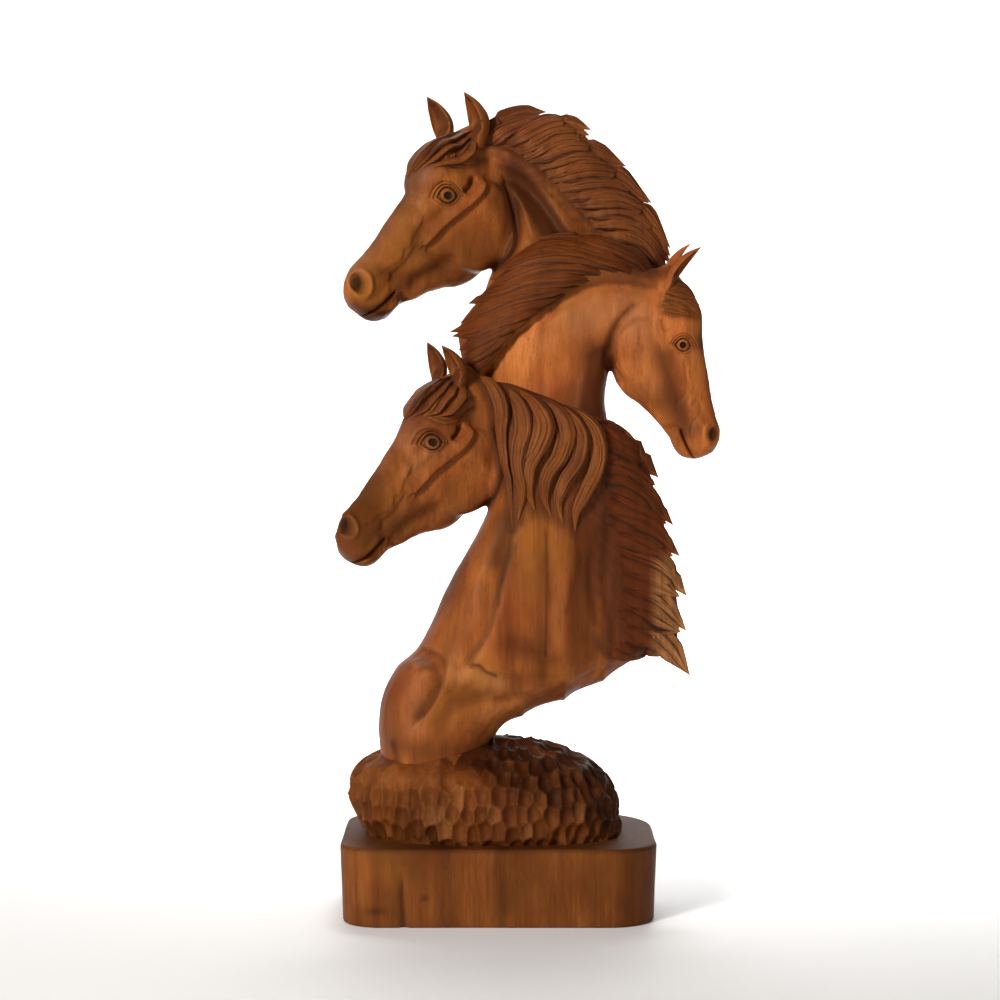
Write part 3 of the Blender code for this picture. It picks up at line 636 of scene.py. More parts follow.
# Forelocks: paths (x, z) on the near side, which the far side mirrors.
FORELOCKS = {
    "upper": [
        ([(-24, 562), (-35, 561), (-42, 556), (-43, 551), (-35, 547), (-23, 546)], (6.6, 8.8, 6.6)),
        ([(-22, 560), (-33, 559), (-38, 555), (-35, 551), (-25, 549), (-10, 551)], (6.6, 8.8, 6.6)),
    ],
    "middle": [
        ([(119, 461), (128, 461), (137, 458), (143, 451)], (4.4, 6.6, 4.4)),
        ([(115, 457), (125, 456), (135, 453), (145, 446)], (4.4, 6.6, 4.4)),
        ([(112, 452), (123, 451), (135, 448), (146, 441)], (4.4, 6.6, 4.4)),
        ([(111, 448), (122, 446), (134, 443), (145, 437)], (4.4, 5.9, 3.7)),
        ([(113, 444), (123, 441), (133, 439), (143, 436)], (3.7, 5.1, 2.9)),
    ],
    "lower": [
        ([(-30, 386), (-37, 384), (-42, 379), (-42, 373), (-35, 370), (-25, 372)], (6.6, 8.8, 6.6)),
        ([(-28, 384), (-34, 382), (-37, 378), (-34, 374), (-28, 375), (-20, 379)], (6.6, 8.1, 5.9)),
        ([(-53, 376), (-51, 370), (-43, 365), (-32, 365), (-19, 372)], (5.9, 7.3, 5.1)),
    ],
}

# Pale sapwood at the tips of the lower mane: where it sets in along X, and under which Z.
SAPWOOD_FROM = (107, 118)
SAPWOOD_UNDER = (254, 268)

# Hair between the ears, from the poll to the brow: paths (along, out) as shares of a head.
FRINGES = {
    "upper": [
        ([(-0.13, 0.003), (0.08, 0.006), (0.19, 0.008), (0.28, 0.009), (0.350, 0.004)], (9.0, 16.0, 11.5)),
        ([(-0.12, 0.018), (0.07, 0.031), (0.16, 0.040), (0.25, 0.045), (0.325, 0.040)], (9.0, 16.5, 12.0)),
        ([(-0.10, 0.033), (0.07, 0.059), (0.15, 0.074), (0.23, 0.082), (0.300, 0.078)], (9.0, 16.5, 12.0)),
        ([(-0.08, 0.046), (0.06, 0.084), (0.13, 0.104), (0.20, 0.115), (0.270, 0.112)], (9.0, 16.5, 12.0)),
    ],
    "lower": [
        ([(-0.13, 0.003), (0.06, 0.006), (0.15, 0.008), (0.24, 0.009), (0.305, 0.004)], (10.0, 17.0, 12.5)),
        ([(-0.12, 0.018), (0.06, 0.031), (0.14, 0.040), (0.22, 0.045), (0.285, 0.040)], (10.0, 17.5, 13.0)),
        ([(-0.10, 0.033), (0.06, 0.059), (0.13, 0.074), (0.20, 0.082), (0.262, 0.078)], (10.0, 17.5, 13.0)),
        ([(-0.08, 0.046), (0.05, 0.084), (0.11, 0.104), (0.17, 0.114), (0.232, 0.112)], (10.0, 17.5, 13.0)),
    ],
}

# Shape of a tuft: points along it and round it, and its spread over the widths above.
TUFT_POINTS = 34
TUFT_AROUND = 38
TUFT_SPREAD = 1.3

# A tuft starts this deep in the body, and a path is dropped on it from this far off.
ROOT_DEPTH = 5.0
DROP = 200

# Looks of carved hair: height and depth of a tuft for its half width, grooves, groove depth.
HAIR_STYLES = {
    "mane": (0.28, 0.60, 3.0, 0.8),
    "flat": (0.12, 0.45, 3.4, 0.6),
    "locks": (0.34, 0.60, 2.8, 0.8),
    "forelock": (0.13, 0.55, 3.2, 0.6),
}

# Inputs of the tree that makes the tufts.
TUFT_INPUTS = {
    "Geometry": "Geometry",
    "Sides": "Int",
    "Height": "Float",
    "Depth": "Float",
    "Grooves": "Float",
    "Groove Depth": "Float",
    "Finish": "Material",
}

# How hair lies: height over the body, share of its length in which it comes out, and lean.
LAYS = {
    "mane": (1.2, 0.26, 0.26),
    "flat": (0.6, 0.45, 0.18),
    "locks": (2.6, 0.18, 0.30),
    "forelock": (0.2, 0.22, 0.14),
}


def unit(vectors):
    """Vectors of length 1, for one vector or for rows of them."""
    vectors = np.asarray(vectors, float)
    return vectors / np.linalg.norm(vectors, axis=-1, keepdims=True)


def round_angles(around):
    """Evenly spaced angles once round."""
    return np.linspace(0, 2 * math.pi, around, endpoint=False)


def run_length(points):
    """Length along a line of points, from 0 at its start."""
    return np.concatenate([[0], np.cumsum(np.linalg.norm(np.diff(points, axis=0), axis=1))])


def smooth_rows(rows, count):
    """A smooth curve through every column of a table."""
    rows = np.asarray(rows, float)
    ends = np.vstack([2 * rows[0] - rows[1], rows, 2 * rows[-1] - rows[-2]])
    at = np.linspace(0, len(rows) - 1, count)
    k = np.minimum(at.astype(int), len(rows) - 2)
    t = (at - k)[:, None]
    a, b, c, d = ends[k], ends[k + 1], ends[k + 2], ends[k + 3]
    curve = 2 * b + (c - a) * t + (2 * a - 5 * b + 4 * c - d) * t**2
    return 0.5 * (curve + (3 * b - a - 3 * c + d) * t**3)


def tube(rings):
    """Points and faces of a closed tube through rings of equal length."""
    rings = np.asarray(rings)
    count, around = rings.shape[:2]
    faces = [tuple(reversed(range(around)))]
    for i in range(count - 1):
        for j in range(around):
            k = (j + 1) % around
            low, high = i * around, (i + 1) * around
            faces.append((low + j, low + k, high + k, high + j))
    faces.append(tuple((count - 1) * around + j for j in range(around)))
    return rings.reshape(-1, 3), faces


def section(around):
    """Angles round a section, its level from 0 to 1 and its signed rounding."""
    angle = round_angles(around)
    level = (1 - np.cos(angle)) / 2
    return level, np.sign(np.sin(angle)) * np.sqrt(1 - np.abs(2 * level - 1) ** 2.6)


def loft(rows, count=40, around=32):
    """A body between a front and a back profile, seen from the side."""
    level, side = section(around)
    rings = []
    for fx, fz, bx, bz, y, front, back in smooth_rows(rows, count):
        half = front + (back - front) * level
        ring = [fx + (bx - fx) * level, y + half * side, fz + (bz - fz) * level]
        rings.append(np.stack(ring, axis=1))
    return tube(rings)


class Head:
    """The frame of one head, in shares of its length: along the face, up from it, and near."""

    def __init__(self, poll, length, pitch, yaw, facing):
        self.poll, self.length = np.array(poll), length
        pitch, yaw = math.radians(pitch), math.radians(yaw)
        forward = np.array([facing * math.cos(yaw), -math.sin(yaw), 0.0])
        near = np.array([-facing * math.sin(yaw), -math.cos(yaw), 0.0])
        up = np.array([0.0, 0.0, 1.0])
        along = math.cos(pitch) * forward - math.sin(pitch) * up
        self.axes = np.array([along, math.sin(pitch) * forward + math.cos(pitch) * up, near])

    def world(self, points):
        return self.poll + self.length * (np.asarray(points) @ self.axes)

    def local(self, points):
        return (points - self.poll) / self.length @ self.axes.T


def skull(head, count=64, around=40):
    """The head from poll to lips."""
    level, side = section(around)
    rings = []
    for row in smooth_rows(HEAD_RIBS, count):
        half = np.interp(level, (0, *RIB_LEVELS, 1), (row[4], *row[4:], row[8]))
        along = row[0] + (row[2] - row[0]) * level
        up = row[1] + (row[3] - row[1]) * level
        rings.append(head.world(np.stack([along, up, half * side], axis=1)))
    return tube(rings)


def cheeks(head, place, count=20, around=40):
    """The round jaw, a flattened disc as wide as both cheeks."""
    rings = []
    for height in np.linspace(-0.995, 0.995, count):
        radius = place[2] * (1 - abs(height) ** 8) ** 0.32
        angle = round_angles(around)
        along = place[0] + radius * np.cos(angle)
        up = place[1] + radius * np.sin(angle)
        across_head = height * (place[3] - 0.03 * np.cos(angle))
        rings.append(head.world(np.stack([along, up, across_head], axis=1)))
    return tube(rings)


def ear(base, tip, width, opening, count=44, around=EAR_AROUND):
    """A pointed leaf with a deep cup and a rim on the side that it opens to."""
    base, tip = np.array(base, float), np.array(tip, float)
    axis = unit(tip - base)
    out = unit(np.asarray(opening) - np.dot(opening, axis) * axis)
    side = np.cross(axis, out)
    angle = round_angles(around)
    shares = smooth_rows(np.array(EAR_WIDTHS)[:, None], count)[:, 0]
    rings = []
    for t, share in zip(np.linspace(0, 1, count), shares, strict=True):
        half = width * share / 2
        cup = EAR_CUP * fade(t, 0.14, 0.50) * (1 - fade(t, 0.80, 1.0))
        rise = np.sin(angle)
        inner = (0.55 * (1 - cup / EAR_CUP) - cup) * np.abs(rise) ** 0.8
        depth = np.where(rise > 0, inner, 1.05 * rise)
        centre = base + (tip - base) * t - out * width * 0.14 * math.sin(math.pi * t)
        ring = centre + np.outer(np.cos(angle) * half, side)
        rings.append(ring + np.outer(half * depth, out))
    return tube(rings)


def crown(head, count=16, around=32):
    """The full brow under the forelock of the upper horse."""
    rings = []
    for turn in np.linspace(0.03, math.pi - 0.03, count):
        angle = round_angles(around)
        along = np.full(around, BROW[0] - BROW[2] * math.cos(turn))
        up = BROW[1] + BROW[3] * math.sin(turn) * np.cos(angle)
        out = BROW[4] * math.sin(turn) * np.sin(angle)
        rings.append(head.world(np.stack([along, up, out], axis=1)))
    return tube(rings)


def add_mesh(name, points, faces, edges=()):
    mesh = bpy.data.meshes.new(name)
    mesh.from_pydata((np.asarray(points) * MM).tolist(), edges, faces)
    mesh.update()
    obj = bpy.data.objects.new(name, mesh)
    bpy.context.scene.collection.objects.link(obj)
    return obj


def outward(obj):
    """Turns every face outward."""
    work = bmesh.new()
    work.from_mesh(obj.data)
    bmesh.ops.recalc_face_normals(work, faces=work.faces)
    work.to_mesh(obj.data)
    work.free()


def joined(name, bodies):
    """One mesh object that holds several closed bodies."""
    points, faces, start = [], [], 0
    for body_points, body_faces in bodies:
        points.append(body_points)
        faces += [tuple(start + k for k in face) for face in body_faces]
        start += len(body_points)
    obj = add_mesh(name, np.vstack(points), faces)
    outward(obj)
    return obj


def evaluated(obj):
    """Replaces an object's mesh with the result of its modifiers."""
    graph = bpy.context.evaluated_depsgraph_get()
    mesh = bpy.data.meshes.new_from_object(obj.evaluated_get(graph))
    obj.modifiers.clear()
    obj.data = mesh


def remeshed(obj):
    """One skin round all the bodies of an object."""
    remesh = obj.modifiers.new("Remesh", "REMESH")
    remesh.mode = "VOXEL"
    remesh.voxel_size = BODY_VOXEL * MM
    evaluated(obj)


def read_rows(items, label, width, kind=np.float32):
    """A field of all vertices or edges of a mesh, one row for each."""
    flat = np.empty(width * len(items), kind)
    items.foreach_get(label, flat)
    return flat.reshape(-1, width)


def points_of(obj):
    return read_rows(obj.data.vertices, "co", 3).astype(float) / MM


def set_points(obj, points):
    obj.data.vertices.foreach_set("co", (points * MM).astype(np.float32).ravel())
    obj.data.update()


def normals_of(obj):
    return read_rows(obj.data.vertices, "normal", 3).astype(float)


def edges_of(obj):
    return read_rows(obj.data.edges, "vertices", 2, np.int32)


def relaxed(points, edges, rounds, share=0.5):
    """Moves each point part of the way to the middle of its neighbours."""
    count = len(points)
    degree = np.bincount(edges.ravel(), minlength=count)[:, None]
    for _ in range(rounds):
        total = np.empty_like(points)
        for axis in range(points.shape[1]):
            values = points[:, axis]
            total[:, axis] = np.bincount(
                edges[:, 0], values[edges[:, 1]], count
            ) + np.bincount(edges[:, 1], values[edges[:, 0]], count)
        move = share * (total / np.maximum(degree, 1) - points)
        points = points + move
    return points


def refined(obj, chosen):
    """Splits each chosen face in four. chosen takes face centres and returns a mask."""
    work = bmesh.new()
    work.from_mesh(obj.data)
    centres = np.array([face.calc_center_median() for face in work.faces]) / MM
    mask = chosen(centres)
    edges = {edge for face, wanted in zip(work.faces, mask, strict=True) if wanted for edge in face.edges}
    edges = sorted(edges, key=lambda edge: edge.index)
    bmesh.ops.subdivide_edges(work, edges=edges, cuts=1, use_grid_fill=True)
    work.to_mesh(obj.data)
    work.free()


def store(obj, name, values):
    """Keeps one number for each point, for the finish to read."""
    attribute = obj.data.attributes.new(name, "FLOAT", "POINT")
    attribute.data.foreach_set("value", np.asarray(values, np.float32))


def smooth_shaded(obj):
    obj.data.polygons.foreach_set("use_smooth", [True] * len(obj.data.polygons))


def fade(value, low, high):
    """0 at low and 1 at high, with soft ends."""
    t = np.clip((value - low) / (high - low), 0, 1)
    return t * t * (3 - 2 * t)


def to_segment(x, y, start, end):
    """Offsets in x and y from the nearest point of a segment."""
    step = end - start
    t = np.clip(((x - start[0]) * step[0] + (y - start[1]) * step[1]) / (step @ step), 0, 1)
    return x - start[0] - t * step[0], y - start[1] - t * step[1]


def from_path(x, y, path):
    """Distance to a smooth path, and 1 on its left or -1 on its right."""
    path = np.array(path, float)
    if len(path) > 2:
        path = smooth_rows(path, 6 * len(path))
    best = np.full(len(x), np.inf)
    side = np.ones(len(x))
    for a, b in zip(path[:-1], path[1:], strict=True):
        step = b - a
        dx, dy = to_segment(x, y, a, b)
        away = np.hypot(dx, dy)
        closer = away < best
        best = np.where(closer, away, best)
        side = np.where(closer, np.where(step[0] * dy > step[1] * dx, 1, -1), side)
    return best, side


def cut_height(x, y, strokes):
    """Sum of the strokes at each point: a soft ridge or groove along every path."""
    height = np.zeros(len(x))
    for path, amount, left, right in strokes:
        away, side = from_path(x, y, path)
        height += amount * np.exp(-((away / np.where(side > 0, left, right)) ** 2))
    return height


def in_frame(along, up, place):
    """Offsets from a place on the face, along its tilt and across it."""
    c, s = math.cos(place[2]), math.sin(place[2])
    a = (along - place[0]) * c + (up - place[1]) * s
    b = -(along - place[0]) * s + (up - place[1]) * c
    return a, b


def eye_marks(along, up, eye):
    """Distance outside the almond of the lids, distance from the pupil, and upper or lower."""
    a, b = in_frame(along, up, eye)
    length = eye[3]
    turn = np.linspace(-1, 1, 41)
    top = np.stack([turn * length, EYE_UPPER * (1 - np.abs(turn) ** 2.2) - EYE_DROP], axis=1)
    low = np.stack([turn * length, -EYE_LOWER * (1 - turn**2) - EYE_DROP], axis=1)
    away = np.full(len(a), np.inf)
    for line in (top, low):
        for start, end in zip(line[:-1], line[1:], strict=True):
            away = np.minimum(away, np.hypot(*to_segment(a, b, start, end)))
    share = np.clip(np.abs(a) / length, 0, 1)
    level = b + EYE_DROP
    inside = (level < EYE_UPPER * (1 - share**2.2)) & (level > -EYE_LOWER * (1 - share**2))
    inside &= np.abs(a) < length
    return np.where(inside, -away, away), np.hypot(a, b), b > -EYE_DROP


def ridge(away, place, width):
    return np.exp(-(((away - place) / width) ** 2))


def eye_height(along, up, eye):
    """Eyeball, lids, and two creases over the upper lid."""
    away, from_pupil, upper = eye_marks(along, up, eye)
    height, radius, rim = EYEBALL
    ball = height * np.sqrt(np.clip(1 - (from_pupil / radius) ** 2, 0, 1)) - rim
    ball -= 0.010 * ridge(away, -0.002, 0.005)
    ball -= 0.013 * (1 - fade(from_pupil, PUPIL - 0.006, PUPIL))
    lids = sum(np.where(upper, high, low) * ridge(away, at, width) for at, width, high, low in LIDS)
    return np.where(away < 0, ball, lids)


def eye_stain(along, up, eye):
    away, from_pupil, upper = eye_marks(along, up, eye)
    pupil = 1 - fade(from_pupil, PUPIL - 0.003, PUPIL + 0.003)
    ring = 0.85 * ridge(from_pupil, IRIS, 0.004) * (away < 0.002)
    corner = 0.75 * fade(from_pupil, 0.042, 0.050) * (away < 0.0)
    line = 0.85 * ridge(away, -0.001, 0.0035)
    ball = 0.26 * (away < 0)
    crease = 0.7 * ridge(away, CREASE, 0.0026) * upper
    second = 0.35 * ridge(away, SECOND_CREASE, 0.003) * upper
    return np.maximum.reduce([pupil, ring, corner, ball, line, crease, second])


def nostril_place(along, up, nostril):
    a, b = in_frame(along, up, nostril)
    return np.hypot(a / NOSTRIL_LONG, b / NOSTRIL_SHORT) / nostril[3]


def nostril_height(along, up, nostril):
    place = nostril_place(along, up, nostril)
    return 0.010 * ridge(place, 1.15, 0.32) - 0.065 * np.exp(-((place / 0.66) ** 4))


def carve_head(obj, head, name):
    """Works both sides of a head: strokes first, then eyes and nostrils in a finer grain."""

    def on_face(points):
        place = head.local(points)
        return ((place > FACE_LEAST) & (place < FACE_MOST)).all(axis=1)

    def near_detail(points):
        along, up, out = head.local(points).T
        close = (along > MOUTH_FROM) & (up < MOUTH_LEVELS[1]) & (up > MOUTH_LEVELS[0])
        for place, reach in ((EYES[name], EYE_REACH), (NOSTRILS[name], NOSTRIL_REACH)):
            close |= np.hypot(along - place[0], up - place[1]) < reach
        return close & (np.abs(out) > 0.02) & on_face(points)

    def push(points, normals, height, soft):
        out = head.local(points)[:, 2]
        height = np.where(on_face(points), height, 0)
        # A stroke fades where the surface turns away, and a cut never reaches the middle.
        height = height * fade(np.abs(normals @ head.axes[2]), 0.05, 0.45)
        height = np.maximum(height, -0.75 * np.maximum(np.abs(out) - 0.012, 0))
        move = height * np.tanh(out / soft) * head.length
        return points + move[:, None] * head.axes[2]

    refined(obj, on_face)
    set_points(obj, relaxed(points_of(obj), edges_of(obj), 3))
    points = points_of(obj)
    along, up, _ = head.local(points).T
    height = HEAD_STRENGTH[name] * cut_height(along, up, HEAD_STROKES)
    height += cut_height(along, up, LIP_STROKES)
    if name == "middle":
        height += cut_height(along, up, VEINS)
    points = push(points, normals_of(obj), height, 0.03)
    set_points(obj, relaxed(points, edges_of(obj), 1))
    refined(obj, near_detail)
    points = points_of(obj)
    edges = edges_of(obj)
    eased = relaxed(points, edges, 2)
    points = np.where(near_detail(points)[:, None], eased, points)
    along, up, _ = head.local(points).T
    height = eye_height(along, up, EYES[name])
    height += nostril_height(along, up, NOSTRILS[name])
    set_points(obj, points)
    set_points(obj, push(points, normals_of(obj), height, 0.02))


def carve_neck(obj, strokes):
    """Muscles, hollows and checks on the near side of a neck, and the broad ones on the far."""
    points, normals = points_of(obj), normals_of(obj)
    height = cut_height(points[:, 0], points[:, 2], strokes) * fade(-normals[:, 1], 0.0, 0.5)
    broad = [stroke for stroke in strokes if min(stroke[2:]) > 5]
    height += cut_height(points[:, 0], points[:, 2], broad) * fade(normals[:, 1], 0.0, 0.5)
    set_points(obj, points + height[:, None] * normals)


def scalloped(obj):
    """The underside of the bust, left by a few wide cuts."""
    points, normals = points_of(obj), normals_of(obj)
    x, z = points[:, 0], points[:, 2]
    meets = np.array(UNDERCUTS)
    k = np.clip(np.searchsorted(meets, x) - 1, 0, len(meets) - 2)
    width = meets[k + 1] - meets[k]
    share = np.clip((x - meets[k]) / width, 0, 1)
    depth = np.interp(width, (15, 34), (1.4, 2.6)) * np.sin(math.pi * share) ** 0.8
    edge = np.interp(x, *np.transpose(UNDERSIDE))
    here = fade(x, -18, 0) * (1 - fade(x, 112, 122)) * (1 - fade(np.abs(z - edge), 10, 18))
    here *= fade(-normals[:, 2], 0.1, 0.6)
    set_points(obj, points - (depth * here)[:, None] * normals)


def hollows(obj, rounds, depth):
    """How deep each point lies below the smoothed surface, as a share of depth."""
    points, edges = points_of(obj), edges_of(obj)
    below = ((relaxed(points, edges, rounds) - points) * normals_of(obj)).sum(axis=1)
    return np.clip(relaxed(below[:, None], edges, 1)[:, 0] / depth, 0, 1)


def hand_worked(obj):
    """The slight unevenness that a chisel and a scraper leave on a smooth surface."""
    points = points_of(obj)
    height = np.zeros(len(points))
    for rise, wide, tall, shift in HAND_WORK:
        places = points / (wide, wide, tall) + (shift, 0, 0)
        height += rise * np.array([noise.noise(Vector(place)) for place in places])
    set_points(obj, points + height[:, None] * normals_of(obj))


def thinned(obj):
    """Keeps a piece under its share of triangles."""
    triangles = sum(len(face.vertices) - 2 for face in obj.data.polygons)
    if triangles > MOST_TRIANGLES:
        reduce = obj.modifiers.new("Decimate", "DECIMATE")
        reduce.ratio = MOST_TRIANGLES / triangles
        evaluated(obj)


def horse_body(name):
    """Head, neck and the core of the mane as one closed body."""
    head = Head(*HEADS[name])
    neck, mane = NECKS[name]
    bodies = [loft(neck), loft(mane), skull(head), cheeks(head, CHEEKS[name])]
    if name == "upper":
        bodies.append(crown(head))
    obj = joined(name + "_horse", bodies)
    remeshed(obj)
    set_points(obj, relaxed(points_of(obj), edges_of(obj), BODY_SMOOTHING))
    carve_head(obj, head, name)
    carve_neck(obj, NECK_STROKES[name])
    if name == "lower":
        scalloped(obj)
    thinned(obj)
    hand_worked(obj)
    return obj, head


def tree_of(obj):
    faces = [tuple(face.vertices) for face in obj.data.polygons]
    return BVHTree.FromPolygons(points_of(obj).tolist(), faces)


def side_frame(toward, middle):
    """Hair paths in X and Z, laid on the body from the front or from the back."""
    origin = np.array([0.0, middle, 0.0])
    return origin, np.array([1.0, 0, 0]), np.array([0, 0, 1.0]), np.array([0, toward, 0])


def laid_on(tree, frame, path, whole=True):
    """A flat path dropped on the body, with the body's normals."""
    origin, first, second, toward = frame
    path = smooth_rows(path, TUFT_POINTS)
    flat = np.array([origin + a * first + b * second for a, b in path])
    rise = np.full(TUFT_POINTS, np.nan)
    normals = np.tile(toward, (TUFT_POINTS, 1)).astype(float)
    for i, point in enumerate(flat):
        hit, normal = tree.ray_cast(Vector(point + DROP * toward), Vector(-toward))[:2]
        if hit is not None:
            rise[i] = (np.array(hit) - point) @ toward
            normals[i] = 0.6 * np.array(normal) + 0.4 * toward
    found = np.flatnonzero(~np.isnan(rise))
    if len(found) == 0:
        return None
    if found[0] > 0 and whole:
        # Hair starts on the body, not beside it.
        return laid_on(tree, frame, path[found[0] :], False)
    rise = np.interp(np.arange(TUFT_POINTS), found, rise[found])
    # Past the edge of the body a tip turns in to the middle of its mane.
    beyond = np.maximum(0, np.arange(TUFT_POINTS) - found[-1])
    rise *= 0.84**beyond
    rise = np.convolve(np.pad(rise, 2, "edge"), np.ones(5) / 5, "valid")
    return flat + rise[:, None] * toward, normals


def tuft(tree, frame, path, widths, draw, style):
    """The line, lean and half width of one tuft of hair, laid on the body."""
    height, start, tilt = LAYS[style]
    t = np.linspace(0, 1, TUFT_POINTS)
    laid = laid_on(tree, frame, path)
    if laid is None:
        return []
    points, normals = laid
    normals = unit(normals)
    lift = np.interp(t, (0, start, 0.75, 1), (-ROOT_DEPTH, height, height, 0.3)) + draw.uniform(-0.3, 0.3)
    across = unit(np.cross(np.gradient(points, axis=0), normals))
    # A tuft faces up or to the left, so that its lower edge lies over the next one.
    facing = (-1.0, 0.0, 0.1) if style == "locks" else (-0.5, 0.0, 1.0)
    upward = np.sign(across.mean(axis=0) @ np.array(facing))
    lean = unit(normals + draw.uniform(0.7, 1.3) * tilt * upward * across)
    half = 0.5 * np.interp(t, (0, 0.4, 0.78, 1), (*widths, 0.4)) * draw.uniform(0.95, 1.1)
    half = np.maximum(TUFT_SPREAD * half * np.clip(2.6 * t + 0.30, 0, 1), 0.25)
    return [(points + normals * lift[:, None], lean, half, draw.uniform(0, 50))]


class Term:
    """A socket that can stand in a sum."""

    def __init__(self, graph, socket):
        self.graph, self.socket = graph, socket

    def maths(self, operation, *others, swap=False):
        terms = (*others, self) if swap else (self, *others)
        return self.graph.add("ShaderNodeMath", {"operation": operation}, dict(enumerate(terms)))

    def __add__(self, other):
        return self.maths("ADD", other)

    def __sub__(self, other):
        return self.maths("SUBTRACT", other)

    def __mul__(self, other):
        return self.maths("MULTIPLY", other)

    def __rsub__(self, other):
        return self.maths("SUBTRACT", other, swap=True)

    __radd__ = __add__
    __rmul__ = __mul__

    def of(self, name):
        """Another output of the same node."""
        return Term(self.graph, self.socket.node.outputs[name])


class Graph:
    """Adds nodes to one tree."""

    def __init__(self, tree):
        self.tree = tree

    def add(self, kind, settings=None, values=None, output=0):
        """A node of a type, with its settings and then the values or links of its sockets."""
        node = self.tree.nodes.new(kind)
        for name, value in (settings or {}).items():
            if name == "stops":
                self.set_stops(node, value)
            else:
                setattr(node, name, value)
        for name, value in (values or {}).items():
            if isinstance(value, Term):
                self.tree.links.new(value.socket, node.inputs[name])
            else:
                node.inputs[name].default_value = value
        return Term(self, node.outputs[output]) if node.outputs else node

    def set_stops(self, node, stops):
        elements = node.color_ramp.elements
        while len(elements) < len(stops):
            elements.new(0.5)
        for element, (position, colour) in zip(elements, stops, strict=True):
            element.position = position
            element.color = colour

    def mixed(self, factor, first, second):
        """Two colours mixed."""
        settings = {"data_type": "RGBA", "clamp_factor": True}
        values = {0: factor, 6: first, 7: second}
        return self.add("ShaderNodeMix", settings, values, output=2)


def tuft_tree():
    """Geometry Nodes that sweep a combed tuft along every path of a mesh of edges."""
    tree = bpy.data.node_groups.new("combed_tufts", "GeometryNodeTree")
    for name, kind in TUFT_INPUTS.items():
        tree.interface.new_socket(name, in_out="INPUT", socket_type="NodeSocket" + kind)
    tree.interface.new_socket("Geometry", in_out="OUTPUT", socket_type="NodeSocketGeometry")
    g = Graph(tree)
    given = g.add("NodeGroupInput")

    def named(label, kind="FLOAT"):
        settings = {"data_type": kind}
        return g.add("GeometryNodeInputNamedAttribute", settings, {"Name": label})

    def stored(geometry, label, value):
        settings = {"data_type": "FLOAT", "domain": "POINT"}
        values = {"Geometry": geometry, "Name": label, "Value": value}
        return g.add("GeometryNodeStoreNamedAttribute", settings, values)

    curve = g.add("GeometryNodeMeshToCurve", {}, {"Mesh": given.of("Geometry")})
    values = {"Curve": curve, "Normal": named("lean", "FLOAT_VECTOR")}
    curve = g.add("GeometryNodeSetCurveNormal", {"mode": "FREE"}, values)
    curve = stored(curve, "along", g.add("GeometryNodeSplineParameter"))
    values = {"Resolution": given.of("Sides"), "Radius": 1.0}
    circle = g.add("GeometryNodeCurvePrimitiveCircle", {"mode": "RADIUS"}, values)
    place = g.add("ShaderNodeSeparateXYZ", {}, {"Vector": g.add("GeometryNodeInputPosition")})
    rise, across = place.of("X"), place.of("Y")
    # More of the points go on the side that shows.
    turn = across.maths("ARCTAN2", rise)
    turn = turn - turn.maths("SINE") * 0.42
    top = turn.maths("COSINE").maths("MAXIMUM", 0.0)
    below = turn.maths("COSINE").maths("MINIMUM", 0.0)
    across = turn.maths("SINE")
    height = top.maths("POWER", 0.8) * given.of("Height") + below * given.of("Depth")
    shape = g.add("ShaderNodeCombineXYZ", {}, {"X": height, "Y": across, "Z": 0.0})
    profile = g.add("GeometryNodeSetPosition", {}, {"Geometry": circle, "Position": shape})
    profile = stored(profile, "across", across)
    profile = stored(profile, "top", top)
    values = {"Curve": curve, "Profile Curve": profile, "Scale": named("half_width"), "Fill Caps": True}
    swept = g.add("GeometryNodeCurveToMesh", {}, values)
    across, along, seed = named("across"), named("along"), named("seed")
    drift = g.add("ShaderNodeCombineXYZ", {}, {"X": along * 1.6, "Y": seed, "Z": 0.0})
    wander = g.add("ShaderNodeTexNoise", {}, {"Vector": drift, "Scale": 1.0, "Detail": 1.0})
    cell = g.add("ShaderNodeCombineXYZ", {}, {"X": across * 3.2, "Y": along * 2.0, "Z": seed + 9.0})
    uneven = g.add("ShaderNodeTexNoise", {}, {"Vector": cell, "Scale": 1.0, "Detail": 1.0})
    phase = (across + (wander - 0.5) * 0.5) * given.of("Grooves") + uneven * 0.9 + seed
    comb = (phase * math.pi).maths("SINE").maths("ABSOLUTE").maths("POWER", 0.7)
    fine = (phase * (3.0 * math.pi)).maths("SINE").maths("ABSOLUTE")
    groove = (1.0 - comb) * (0.45 + uneven) + (1.0 - fine) * 0.22
    groove = groove * (named("top") * 4.0).maths("MINIMUM", 1.0)
    ends = (along * (1.0 - along) * 8.0).maths("MINIMUM", 1.0)
    sunk = groove * ends * given.of("Groove Depth") * -1.0
    values = {"Vector": g.add("GeometryNodeInputNormal"), "Scale": sunk}
    move = g.add("ShaderNodeVectorMath", {"operation": "SCALE"}, values)
    swept = g.add("GeometryNodeSetPosition", {}, {"Geometry": swept, "Offset": move})
    # Painted shade in the grooves and on the sides and underside of a tuft.
    swept = stored(swept, "groove", groove * ends + (1.0 - named("top")) * 0.8)
    whole = g.add("GeometryNodeRealizeInstances", {}, {"Geometry": swept})
    finished = g.add("GeometryNodeSetMaterial", {}, {"Geometry": whole, "Material": given.of("Finish")})
    g.add("NodeGroupOutput", {}, {"Geometry": finished})
    return tree


